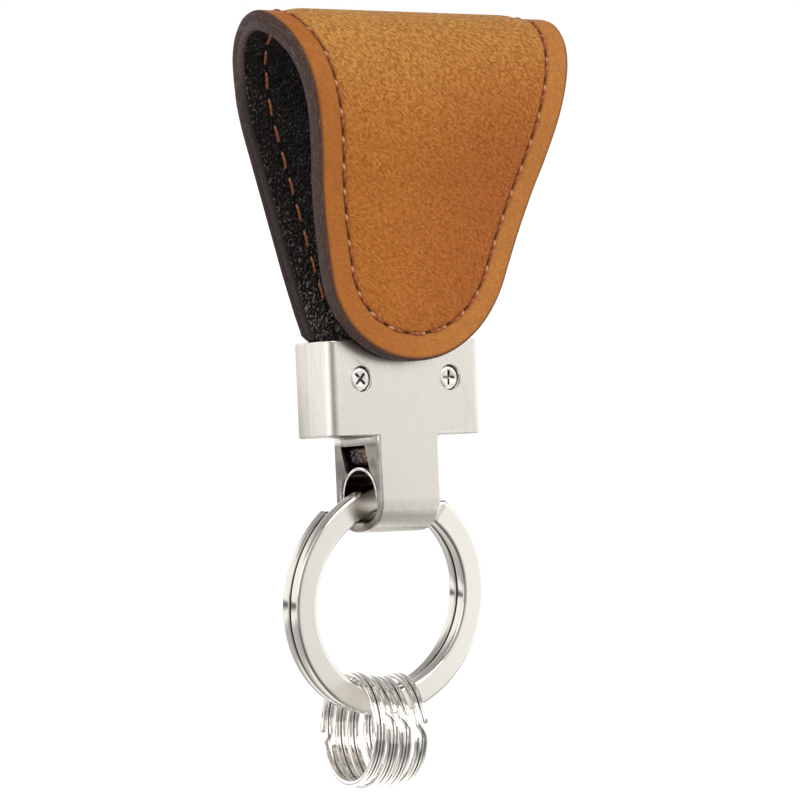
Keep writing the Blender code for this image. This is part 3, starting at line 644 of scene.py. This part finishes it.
def add_noise(vector, scale, detail=2.0, roughness=0.5):
    sockets = {"Vector": vector, "Scale": scale, "Detail": detail, "Roughness": roughness}
    return add_node("TexNoise", sockets).outputs[0]


def add_mix(factor, first, second, blend="MIX"):
    sockets = {0: factor, 6: first, 7: second}  # 6 and 7 are the colours, and those between are for other kinds
    return add_node("Mix", sockets, data_type="RGBA", blend_type=blend).outputs[2]


def lay_over(base, *coats):
    """Lays colours over a base. Each coat is (where it shows, how strongly, its colour)."""
    for where, strength, colour in coats:
        base = add_mix(times(where, strength), base, colour)
    return base


def add_mapping(vector, scale, turn=(0.0, 0.0, 0.0), kind="POINT"):
    sockets = {"Vector": vector, "Rotation": turn, "Scale": scale}
    return add_node("Mapping", sockets, vector_type=kind).outputs[0]


def lean_stretch(vector, angle_deg, length):
    """Turns a texture by an angle and draws it out along that direction."""
    return add_mapping(vector, (length, 1.0, 1.0), (0.0, 0.0, math.radians(angle_deg)), "TEXTURE")


# %% [markdown]
# ## Grain, brush lines and clouds
# Leather has fine creases that cross, small pebbles between them, and pores. Noise that is drawn out along two
# directions gives the creases, and a cell texture gives the pebbles. A brushing wheel leaves long, thin lines, which
# are noise squeezed along one axis. Clouds are plain noise of a large scale, as dye takes unevenly. All sizes are in
# millimetres, so each effect keeps its size wherever it is used.

# %% Node groups
def new_group(name, size_name, size, outputs):
    """A node group that takes a place and a size, and gives numbers."""
    tree = bpy.data.node_groups.new(name, "ShaderNodeTree")
    tree.interface.new_socket("Place", in_out="INPUT", socket_type="NodeSocketVector")
    tree.interface.new_socket(size_name, in_out="INPUT", socket_type="NodeSocketFloat").default_value = size
    for key in outputs:
        tree.interface.new_socket(key, in_out="OUTPUT", socket_type="NodeSocketFloat")
    given = tree.nodes.new("NodeGroupInput").outputs
    return tree, given["Place"], given[size_name], tree.nodes.new("NodeGroupOutput").inputs


def make_grain_group():
    """Creases in patches of two directions, with pebbles between them, and pores."""
    tree, place, crease, result = new_group("Leather grain", "Crease mm", 0.4, ("Height", "Pores"))
    density = add_math("DIVIDE", 1.0, crease)
    slanted = add_noise(lean_stretch(place, 38, 2.6), density, 3.0, 0.65)
    level = add_noise(lean_stretch(place, 8, 2.0), density, 3.0, 0.65)
    choice = add_range(add_noise(place, times(density, 0.12), 1.0), 0.34, 0.60)
    creases = add_range(choice, 0.0, 1.0, level, slanted, kind="LINEAR")
    sockets = {"Vector": lean_stretch(place, 35, 1.5), "Scale": times(density, 0.8)}
    cells = add_node("TexVoronoi", sockets).outputs["Distance"]
    pebbles = add_range(cells, 0.15, 0.85, 0.68, 0.30, kind="LINEAR")
    height = add_math("ADD", times(creases, 0.75), times(pebbles, 0.25))
    put(result["Height"], add_range(height, 0.28, 0.72, kind="LINEAR"))
    put(result["Pores"], add_range(add_noise(place, times(density, 0.85), 1.0), 0.64, 0.74))
    return tree


def make_brush_group():
    """Lines along Z. Height has the fine ones alone, and Tone has broader ones too."""
    tree, place, per_mm, result = new_group("Brush lines", "Lines per mm", 6.0, ("Height", "Tone"))
    squeezed = add_mapping(place, (1.0, 1.0, 0.035))
    fine = add_noise(squeezed, per_mm, 2.0, 0.7)
    coarse = add_noise(squeezed, times(per_mm, 0.22), 1.0)
    put(result["Height"], fine)
    put(result["Tone"], add_math("ADD", times(fine, 0.6), times(coarse, 0.4)))
    return tree


def make_cloud_group():
    tree, place, cloud, result = new_group("Slow clouds", "Cloud mm", 12.0, ("Tone",))
    density = add_math("DIVIDE", 1.0, cloud)
    put(result["Tone"], add_range(add_noise(place, density, 3.0, 0.55), 0.32, 0.68))
    return tree


GRAIN, BRUSH, CLOUDS = make_grain_group(), make_brush_group(), make_cloud_group()
print("node groups:", [group.name for group in (GRAIN, BRUSH, CLOUDS)])


# %% [markdown]
# ## Where a finish finds its place
# The leather's finish is drawn on the flat pattern, as a maker dyes and edges the strip before folding it, so the
# grain doesn't swim or stretch over the fold. The metal's finish is drawn in the space of the model, and for the
# fitting that space is set upright again, which makes its walls easy to find by their coordinates.

# %% Material helpers
def new_material(name, rough, metal=0.0, **sockets):
    """A material and its shader. Plain numbers are set on the shader's own sockets."""
    made = bpy.data.materials.new(name)
    made.use_nodes = True
    shader = made.node_tree.nodes["Principled BSDF"]
    for key, value in {"Roughness": rough, "Metallic": metal, **sockets}.items():
        put(shader.inputs[key.replace("_", " ")], value)
    return made, made.node_tree, shader


def dress(shader, colour, rough):
    put(shader.inputs["Base Color"], colour)
    put(shader.inputs["Roughness"], rough)


def place_group(group, **values):
    sockets = {key.replace("_", " "): value for key, value in values.items()}
    return add_node("Group", sockets, node_tree=group).outputs


def mark(tree, name):
    """A named value that the mesh carries."""
    return add_node("Attribute", tree=tree, attribute_name=name).outputs["Fac"]


def flat_place(tree, depth=False):
    """The place on the flat pattern, in millimetres. With depth, its Z is the place in the leather's thickness."""
    place = add_node("UVMap", tree=tree, uv_map="flat").outputs[0]
    if depth:
        deep = add_node("CombineXYZ", {"Z": mark(tree, "depth")}).outputs[0]
        place = add_vector_math("ADD", place, deep)
    return place


def model_place(tree, turn=(0.0, 0.0, 0.0)):
    """The place in the model, in millimetres."""
    return add_mapping(add_node("TexCoord", tree=tree).outputs["Object"], (1 / MM,) * 3, turn)


def upright_place(tree):
    """The place on the fitting as it stands before the loop is tipped, in millimetres."""
    return model_place(tree, (-LOOP_LEAN, 0.0, 0.0))


def add_bump(shader, height, strength, distance):
    """Lays relief over what the shader's normal already has."""
    bump = add_node("Bump", {"Strength": strength, "Distance": distance, "Height": height})
    for link in shader.inputs["Normal"].links:
        put(bump.inputs["Normal"], link.from_socket)
    put(shader.inputs["Normal"], bump.outputs[0])


def set_material(piece, material):
    piece.data.materials.clear()
    piece.data.materials.append(material)


# %% [markdown]
# ## Tan leather
# Vegetable-tanned cowhide. It is yellow-brown in the padded field, where fine creases run in slanted patches, and
# smoother and more orange in the border outside the seam. The back panel is redder. The cut edge is burnished to a
# fibrous grey-brown band with a dark line where it meets the face. Light and shade are painted into the colour too:
# shade in the creases of the grain, in the seam's groove and in the needle holes, highlights on the crests of the
# grain, shade towards the lower right of the flap, and a border that is darker on its left and lighter on its right.

# %% Tan leather finish
# all colours are linear red, green and blue
EDGE_DARK, EDGE_MID, EDGE_WORN = (0.038, 0.021, 0.017), (0.108, 0.062, 0.050), (0.340, 0.260, 0.220)
FIELD_FOLD, FIELD_LOW, FIELD_RIGHT_SHADE = (0.492, 0.236, 0.049), (0.438, 0.148, 0.023), (0.372, 0.108, 0.020)
FIELD_BACK, FIELD_CLOUD, PORE = (0.430, 0.150, 0.026), (0.400, 0.125, 0.022), (0.190, 0.062, 0.016)
BORDER_SHADED_LEFT, BORDER_LIT_RIGHT = (0.402, 0.134, 0.024), (0.470, 0.180, 0.040)
GROOVE_SHADE, HOLE_SHADE, PAINTED_LINE = (0.150, 0.040, 0.012), (0.026, 0.005, 0.003), (0.085, 0.028, 0.016)
CREASE_SHADE_TINT, CREST_HIGHLIGHT_TINT = (0.74, 0.62, 0.60), (1.28, 1.38, 1.46)


def edge_colour(tree):
    """A burnished edge: grey-brown, with worn fibres that run along it."""
    sockets = {"X": mark(tree, "edge_run"), "Y": mark(tree, "depth")}
    place = add_node("CombineXYZ", sockets).outputs[0]
    fibres = add_noise(add_mapping(place, (0.45, 3.2, 1.0)), 1.5, 4.0, 0.75)
    rough = add_noise(add_mapping(place, (1.6, 3.0, 1.0)), 2.0, 3.0, 0.75)
    return lay_over(EDGE_DARK, (add_range(rough, 0.36, 0.62), 1.0, EDGE_MID),
                    (add_range(fibres, 0.52, 0.76), 0.8, EDGE_WORN))


def scale_colour(colour, factor):
    return add_node("VectorMath", {0: colour, "Scale": factor}, operation="SCALE").outputs[0]


def tan_leather():
    made, tree, shader = new_material("Tan leather", 0.6, Specular_IOR_Level=0.14)
    place = flat_place(tree)
    across, along, _ = parts_of(place)
    grain = place_group(GRAIN, Place=place, Crease_mm=0.28)
    clouds = place_group(CLOUDS, Place=place, Cloud_mm=13.0)["Tone"]
    patches = place_group(CLOUDS, Place=place, Cloud_mm=2.2)["Tone"]
    border = mark(tree, "border")
    field = add_math("SUBTRACT", 1.0, border)
    down_flap = add_range(along, 54.0, 78.0)
    to_right = add_range(across, -10.0, 12.0)
    base = lay_over(
        FIELD_FOLD,
        (down_flap, 1.0, FIELD_LOW),
        (add_range(along, 36.0, 49.0, 1.0, 0.0), 0.75, FIELD_BACK),
        # painted shade: the lower flap darkens towards its right side
        (to_right, down_flap, FIELD_RIGHT_SHADE),
        (clouds, 0.30, FIELD_CLOUD),
        # the border's own smoother, more orange tone, with painted shade on the left and painted light on the right
        (border, 1.0, add_mix(to_right, BORDER_SHADED_LEFT, BORDER_LIT_RIGHT)),
    )
    base = scale_colour(base, add_range(patches, 0.0, 1.0, 0.96, 1.04, kind="LINEAR"))
    contrast = times(field, add_range(down_flap, 0.0, 1.0, 2.6, 1.10, kind="LINEAR"))
    contrast = add_math("ADD", contrast, 0.8)
    relief = add_math("MULTIPLY_ADD", add_math("SUBTRACT", grain["Height"], 0.5), contrast, 0.5)
    # painted shade in the creases of the grain and painted highlight on its crests
    shade_and_highlight_tints = [add_mix(1.0, base, tint, "MULTIPLY") for tint in (CREASE_SHADE_TINT, CREST_HIGHLIGHT_TINT)]
    # the edge colour is darker down the back panel
    edge_darker_down_back = scale_colour(edge_colour(tree), add_range(along, 30.0, 46.0, 0.45, 1.0))
    base = lay_over(
        add_mix(relief, *shade_and_highlight_tints),
        (grain["Pores"], 0.40, PORE),
        # painted shade in the seam's groove and in the needle holes
        (mark(tree, "seam"), 0.65, GROOVE_SHADE),
        (mark(tree, "needle_hole"), 1.0, HOLE_SHADE),
        (mark(tree, "edge_paint"), 1.0, edge_darker_down_back),
        (mark(tree, "paint_line"), 0.7, PAINTED_LINE),
    )
    dress(shader, base, add_range(grain["Height"], 0.2, 0.9, 0.68, 0.52))
    add_bump(shader, times(grain["Height"], add_math("ADD", field, 0.2)), 0.5, 0.10 * MM)
    return made


set_material(outer_leather, tan_leather())
print("finish of", outer_leather.name + ":", outer_leather.data.materials[0].name)

# %% [markdown]
# ## Black lining
# The lining is thin black leather with a close nap. In the photo it is nearly black with short, fine glints, and
# with small pale glints along folds near the fitting. A bump alone gives too few of them in this even light, so both
# kinds are painted highlights, light specks in the colour. The cut edge is burnished brown round the flap and stays
# black on the back panel.

# %% Black lining finish
LINING_BLACK, LINING_GLINT, LINING_FOLD_GLINT = (0.0100, 0.0066, 0.0056), (0.430, 0.385, 0.360), (0.360, 0.310, 0.285)
LINING_HOLE_SHADE, LINING_EDGE, TAIL_TAN = (0.003, 0.002, 0.002), (0.022, 0.012, 0.009), (0.300, 0.110, 0.045)


def black_lining(name, in_window=False):
    """The lining on the strip, or in_window the crackled end of it, with tan places at the front."""
    made, tree, shader = new_material(name, 0.4, Specular_IOR_Level=0.25)
    place = upright_place(tree) if in_window else flat_place(tree, depth=True)
    y = parts_of(place)["Y"]
    height = place_group(GRAIN, Place=place, Crease_mm=0.42)["Height"]
    patches = add_range(add_noise(place, 0.2), 0.35, 0.65, -0.012, 0.016)
    # more painted glint specks lower down the back panel
    lower = add_range(y, 34.0, 6.0, -0.02, 0.05)
    specks = add_noise(lean_stretch(place, 70, 1.8), 4.6, 2.0, 0.6)
    specks = add_math("ADD", specks, add_math("ADD", patches, lower))
    fold_glints = add_range(add_noise(lean_stretch(place, 62, 3.0), 2.3), 0.60, 0.70)
    near_fitting = add_range(y, 42.0, 12.0, 0.15, 0.9)
    # painted highlights: glint specks, and pale glints along folds near the fitting
    base = lay_over(LINING_BLACK, (add_range(specks, 0.565, 0.70), 1.0, LINING_GLINT),
                    (fold_glints, near_fitting, LINING_FOLD_GLINT))
    if in_window:
        patch = add_range(add_noise(place, 1.3), 0.50, 0.58)
        base = lay_over(base, (add_range(y, 8.4, 6.6), patch, TAIL_TAN))
    else:
        edge = add_mix(add_range(y, 41.0, 47.0), LINING_EDGE, edge_colour(tree))
        # painted shade in the needle holes
        base = lay_over(base, (mark(tree, "needle_hole"), 1.0, LINING_HOLE_SHADE),
                        (mark(tree, "edge_paint"), 1.0, edge))
    dress(shader, base, add_range(height, 0.2, 0.9, 0.60, 0.34))
    add_bump(shader, height, 1.0, 0.30 * MM)
    return made


set_material(lining, black_lining("Black lining"))
set_material(tail, black_lining("Crackled tail", in_window=True))
print("lining finishes:", [piece.data.materials[0].name for piece in (lining, tail)])

# %% [markdown]
# ## Thread
# Waxed thread in rust brown, twisted from two strands. The twist is a slanted wave along each dash, in relief and in
# colour, with painted highlight on its ridges and painted shade in its grooves. The upper end of each dash, which
# faces up, has a painted highlight.

# %% Thread finish
THREAD_TOP_HIGHLIGHT = (0.740, 0.420, 0.250)


def rust_thread(name, light, dark, highlight_from, highlight_full):
    """The last two arguments, in millimetres along each dash, are where its painted highlight begins and is fullest.
    """
    made, tree, shader = new_material(name, 0.55, Specular_IOR_Level=0.2)
    along, around, _ = parts_of(flat_place(tree))
    turns = add_math("ADD", times(along, 1.1), around)
    # the twist's ridges take the light colour, a painted highlight, and its grooves the dark colour, a painted shade
    twist_relief_and_shade = add_range(add_math("SINE", times(turns, math.tau)), -1.0, 1.0)
    # painted highlight on the upper end of each dash, which faces the light
    lit_end = add_range(along, highlight_from, highlight_full)
    put(shader.inputs["Base Color"], lay_over(dark, (twist_relief_and_shade, 1.0, light), (lit_end, 0.7, THREAD_TOP_HIGHLIGHT)))
    add_bump(shader, twist_relief_and_shade, 0.35, 0.04 * MM)
    return made


outer_reach = OUTER_COVER * STITCH_PITCH / MM
# each pair is the lit and the shaded colour of a thread's twist
outer_colours = (0.430, 0.140, 0.058), (0.280, 0.074, 0.030)
lining_colours = (0.420, 0.150, 0.070), (0.290, 0.090, 0.040)
set_material(outer_thread, rust_thread("Rust thread", *outer_colours, outer_reach - 0.7, outer_reach - 0.3))
set_material(lining_thread, rust_thread("Orange thread", *lining_colours, 0.7, 0.2))
print("an outer dash is", round(outer_reach, 2), "mm long")

# %% [markdown]
# ## Nickel and chrome
# The fitting is satin nickel with fine upright brush lines. Its hole, its window and the sides of its block are
# darkened with painted shade, with painted reflection flecks on the walls, and places are measured from the fitting
# itself to find those walls. Its side ends get painted shade towards the back, and roll softly over into the front
# corners.

# %% Fitting finish
NICKEL, NICKEL_DULL, NICKEL_SHADE = (0.745, 0.712, 0.655), (0.690, 0.656, 0.598), (0.090, 0.070, 0.056)
WALL_REFLECTION_FLECKS = (0.420, 0.390, 0.370)
# places in mm, in the upright fitting
HOLE_AXIS = (0.0, 7.192, -58.442)
HOLE_WALL, BLOCK_INSIDE = (4.05, 3.9), (4.45, 4.25)
WINDOW_FOOT, WINDOW_TOP = (-55.4, -55.2), (-51.9, -52.0)
WINDOW_FRONT, WINDOW_BACK = (3.9, 4.0), (11.0, 10.9)
BLOCK_SIDE = (4.55, 4.70), (5.0, 4.8)
SLEEVE_END = (11.9, 12.05)


def from_hole_axis(place):
    """How far a place lies from the axis of the ring's hole, in millimetres."""
    away = add_vector_math("SUBTRACT", place, HOLE_AXIS)
    return add_vector_math("LENGTH", add_mapping(away, (0.0, 1.0, 1.0)))


def painted_wall_shade(place):
    """Where painted shade falls: 1 on the walls of the ring's hole and of the window, and less on the block's sides.
    """
    x, y, z = parts_of(place)
    beside = add_math("ABSOLUTE", x)
    hole = add_range(from_hole_axis(place), *HOLE_WALL)
    window = times(in_band(z, WINDOW_FOOT, WINDOW_TOP), in_band(y, WINDOW_FRONT, WINDOW_BACK))
    walls = times(add_math("MAXIMUM", hole, window), add_range(beside, *BLOCK_INSIDE))
    shade = add_range(add_noise(place, 0.5), 0.35, 0.65, 0.66, 0.84)
    side = times(in_band(beside, *BLOCK_SIDE), add_range(z, -51.3, -52.0), shade)
    return add_math("MAXIMUM", walls, side)


def end_shade(place):
    """Painted shade: the sleeve's side ends darken towards their back and foot, which makes them look slightly
    rounded.
    """
    x, y, z = parts_of(place)
    end = add_range(add_math("ABSOLUTE", x), *SLEEVE_END)
    return times(end, add_range(y, 4.2, 10.6), add_range(z, -41.0, -50.0, 0.55, 1.0))


def soft_corner(place):
    """A height in millimetres that falls towards the front, so that the side ends roll over into the corners."""
    into = add_math("MAXIMUM", 0.0, add_math("SUBTRACT", 8.0, parts_of(place)["Y"]))
    return times(into, into, -0.026)


def satin_nickel():
    made, tree, shader = new_material("Satin nickel", 0.30, 1.0)
    place = upright_place(tree)
    lines = place_group(BRUSH, Place=place, Lines_per_mm=6.0)
    clouds = place_group(CLOUDS, Place=place, Cloud_mm=9.0)["Tone"]
    walls = painted_wall_shade(place)
    reflection_flecks = add_range(add_noise(place, 3.0, 3.0, 0.7), 0.50, 0.68)
    base = lay_over(
        NICKEL_DULL,
        (add_range(lines["Tone"], 0.35, 0.65), 1.0, NICKEL),
        (clouds, 0.25, NICKEL),
        # painted shade on the sleeve's side ends, darker towards the back and foot
        (end_shade(place), 0.50, NICKEL_SHADE),
        # painted shade on the walls of the hole and the window and on the block's sides, with painted reflection
        # flecks on the walls
        (walls, 1.0, lay_over(NICKEL_SHADE, (reflection_flecks, add_range(walls, 0.80, 0.95), WALL_REFLECTION_FLECKS))),
    )
    dress(shader, base, add_range(lines["Tone"], 0.3, 0.7, 0.34, 0.24))
    add_bump(shader, soft_corner(place), 1.0, MM)
    add_bump(shader, lines["Height"], 0.22, 0.02 * MM)
    return made


nodes = frame["nodes"]
set_material(nodes["end_fitting"], satin_nickel())
print("brushed nickel on the fitting")

# %% [markdown]
# ## The large ring
# The ring is satin on its flat faces, where it lies against other metal, and polished on its rounded edges, where
# keys and fingers rub. Between its turns it is darkened with painted shade. The marks that the wire carries say
# where each of them is.

# %% Large ring finish
RING_FACE, RING_CLOUD = (0.965, 0.935, 0.862), (0.938, 0.908, 0.835)
RING_RIM, RING_GAP_SHADE = (0.650, 0.615, 0.570), (0.060, 0.050, 0.045)


def ring_nickel():
    made, tree, shader = new_material("Ring nickel", 0.30, 1.0)
    place = model_place(tree)
    clouds = place_group(CLOUDS, Place=place, Cloud_mm=6.0)["Tone"]
    rim = add_range(mark(tree, "rim"), 0.10, 0.55)
    base = lay_over(RING_FACE, (clouds, 0.4, RING_CLOUD), (rim, 1.0, RING_RIM),
                    # painted shade between the turns
                    (mark(tree, "between"), 1.0, RING_GAP_SHADE))
    dress(shader, base, add_range(rim, 0.0, 1.0, 0.31, 0.09))
    add_bump(shader, add_noise(place, 9.0, 2.0, 0.7), 0.10, 0.02 * MM)
    return made


set_material(main_ring, ring_nickel())
print("ring finish:", main_ring.data.materials[0].name)

# %% [markdown]
# ## Bright plating
# Plated steel is nearly white and mirrors the studio, so its look comes from a few faint smears and from painted
# shade where light hardly reaches: between the turns of a ring, under the saddle and in the cross of a screw.

# %% Bright metal finish
def bright_metal(name, colour, rough, smear_mm, painted_shade_at=None, painted_shade_colour=None):
    """Plated metal with faint smears. The optional mask function gives the places darkened with painted shade, in the
    colour after it.
    """
    made, tree, shader = new_material(name, rough, 1.0)
    place = upright_place(tree)
    smears = place_group(CLOUDS, Place=place, Cloud_mm=smear_mm)["Tone"]
    base = add_mix(smears, colour, tuple(0.88 * v for v in colour))
    if painted_shade_at:
        # painted shade where the mask falls
        base = add_mix(painted_shade_at(place), base, painted_shade_colour)
    dress(shader, base, add_range(smears, 0.0, 1.0, rough * 0.75, rough * 1.5))
    return made


def between_turns(place):
    return mark(place.id_data, "between")


def under_saddle(place):
    return add_range(from_hole_axis(place), 3.36, 3.31)


def in_cross_slot(place):
    return add_range(parts_of(place)["Y"], 2.56, 2.66)


for metal, pieces in (
    (bright_metal("Bright chrome", (0.88, 0.85, 0.80), 0.07, 1.5, between_turns, (0.170, 0.125, 0.095)), small_rings),
    (bright_metal("Bright strip", (0.78, 0.75, 0.70), 0.18, 2.0, under_saddle, (0.060, 0.048, 0.040)),
     [nodes["ring_saddle"]]),
    (bright_metal("Screw nickel", (0.86, 0.84, 0.80), 0.20, 1.2, in_cross_slot, (0.30, 0.26, 0.23)),
     [nodes["screw_left"], nodes["screw_right"]]),
    (bright_metal("Magnet plating", (0.70, 0.69, 0.67), 0.25, 3.0), [nodes["back_magnet"], nodes["flap_magnet"]]),
):
    for piece in pieces:
        set_material(piece, metal)
    print(metal.name, "on", len(pieces), "pieces")

# %% [markdown]
# The CAD nodes come in as loose flat facets. A Weld modifier joins them, a small Bevel takes the sharp edges off,
# as tumbling and plating do, and normals weighted by face size keep the flat faces flat. These are modifiers, so
# the CAD shape itself stays as it is.

# %% Smooth the carried-over metal
for name, edge_radius in (("end_fitting", 0.10), ("ring_saddle", 0.05), ("screw_left", 0.04), ("screw_right", 0.04)):
    node = nodes[name]
    node.data.shade_smooth()
    node.modifiers.new("Weld", "WELD").merge_threshold = 2e-6
    soft = node.modifiers.new("Soft edges", "BEVEL")
    soft.width, soft.segments, soft.angle_limit = edge_radius * MM, 2, math.radians(34)
    soft.harden_normals = False
    node.modifiers.new("Even normals", "WEIGHTED_NORMAL").keep_sharp = False
    print(name, "has edges rounded by", edge_radius, "mm")

# %% [markdown]
# ## Studio
# The photo has a pure white ground, so the world is white for the camera. What shiny metal sees is a studio of its
# own: pale all round and brightest at the back, with a dark strip straight ahead, where the photographer stands, and
# a darker ceiling with a bright patch overhead. Those dark parts are what makes metal look like metal. Everything
# else is lit by an even, pale sky and two broad lamps.

# %% World
SKY_LEVEL = 0.62
DARK_SIDE = Vector((-0.09, -1.0, 0.0)).normalized()
BACK_LEVEL, FRONT_LEVEL, AHEAD_LEVEL = 1.45, 1.14, 0.28
CEILING_LEVEL, OVERHEAD_LEVEL = 0.34, 0.8
WHITE = (1.0, 1.0, 1.0)


def side_level(direction):
    """How bright metal finds one side of the studio: most at the back, and a dark strip straight ahead."""
    facing = add_vector_math("DOT_PRODUCT", direction, DARK_SIDE)
    slope = add_range(facing, -1.0, 1.0, BACK_LEVEL, FRONT_LEVEL, kind="LINEAR")
    return times(slope, add_range(facing, 0.60, 0.97, 1.0, AHEAD_LEVEL))


world = bpy.data.worlds.new("studio")
bpy.context.scene.world = world
world.use_nodes = True
direction = add_node("TexCoord", tree=world.node_tree).outputs["Generated"]
up = parts_of(direction)["Z"]
ceiling = add_range(up, 0.36, 0.60, 1.0, CEILING_LEVEL)
overhead = add_range(up, 0.90, 0.97, 0.0, OVERHEAD_LEVEL)
level = times(side_level(direction), add_math("MAXIMUM", ceiling, overhead))
path = add_node("LightPath", tree=world.node_tree).outputs
seen = add_mix(path["Is Glossy Ray"], (SKY_LEVEL,) * 3, level)
clear = add_math("MAXIMUM", path["Is Camera Ray"], path["Is Transmission Ray"])
put(world.node_tree.nodes["Background"].inputs["Color"], add_mix(clear, seen, WHITE))

for name, strength, width_deg, towards in (
    ("key_light", 1.15, 40, (-0.30, 0.80, -0.62)),
    ("fill_light", 0.45, 60, (0.75, 0.55, -0.35)),
):
    data = bpy.data.lights.new(name, "SUN")
    data.energy, data.angle = strength, math.radians(width_deg)
    lamp = new_object(name, data)
    lamp.rotation_mode = "QUATERNION"
    lamp.rotation_quaternion = Vector(towards).to_track_quat("-Z", "Y")
    print(name, "of strength", strength)

# %% [markdown]
# ## Floor
# The floor lies a little below the rings, because the holder hangs from a belt. It takes the holder's soft shadow,
# and a little light of its own, for the camera alone, brings the rest of it up to the white ground. Reflections see
# another floor: duller in a ring close by, and with a dark strip on the far left. The foot of the fitting and the
# lower sides of the rings mirror it, which gives them their dark lines.

# %% Floor
FLOOR_DROP = 30 * MM
FLOOR_RADIUS, FLOOR_CORNERS = 6.0, 64
FLOOR_TONE, FLOOR_GLOW = (0.86, 0.86, 0.86), 0.32
FAR_LEFT = (-0.6, 0.8, 0.0)
# m from the object: where the dull ring and the dark strip begin and end
DULL_NEAR, DULL_FAR = (0.035, 0.06), (0.20, 0.13)
STRIP_NEAR, STRIP_FAR = (0.24, 0.36), (0.62, 0.46)
DULL_DEPTH, STRIP_DEPTH = 0.5, 0.85


def mirrored_floor(tree):
    """What metal sees of the floor."""
    flat = add_vector_math("MULTIPLY", add_node("TexCoord", tree=tree).outputs["Object"], (1.0, 1.0, 0.0))
    distance = add_vector_math("LENGTH", flat)
    towards = add_vector_math("NORMALIZE", flat)
    to_left = add_range(add_vector_math("DOT_PRODUCT", towards, FAR_LEFT), 0.2, 0.6, 0.0, STRIP_DEPTH)
    strip = times(in_band(distance, STRIP_NEAR, STRIP_FAR), to_left)
    dull = add_math("MULTIPLY_ADD", in_band(distance, DULL_NEAR, DULL_FAR), -DULL_DEPTH, 1.0)
    return times(dull, add_math("SUBTRACT", 1.0, strip), side_level(towards))


height = cad_box[0][2] - FLOOR_DROP
turn = np.linspace(0, math.tau, FLOOR_CORNERS, endpoint=False)
corners = [(math.cos(angle) * FLOOR_RADIUS, math.sin(angle) * FLOOR_RADIUS, height) for angle in turn]
mesh = bpy.data.meshes.new("floor")
mesh.from_pydata(corners, [], [list(range(FLOOR_CORNERS))])
floor = new_object("floor", mesh)
made, tree, shader = new_material("Pale floor", 0.9, Specular_IOR_Level=0.0, Base_Color=FLOOR_TONE,
                                  Emission_Color=WHITE)
path = add_node("LightPath", tree=tree).outputs
put(shader.inputs["Emission Strength"], times(path["Is Camera Ray"], FLOOR_GLOW))
mirrored = add_node("Emission", {"Color": mirrored_floor(tree)})
choice = add_node("MixShader", (path["Is Glossy Ray"], shader.outputs[0], mirrored.outputs[0]))
put(tree.nodes["Material Output"].inputs["Surface"], choice.outputs[0])
set_material(floor, made)
bpy.context.scene.view_settings.view_transform = "Standard"
print("the floor lies", FLOOR_DROP / MM, "mm below the rings")
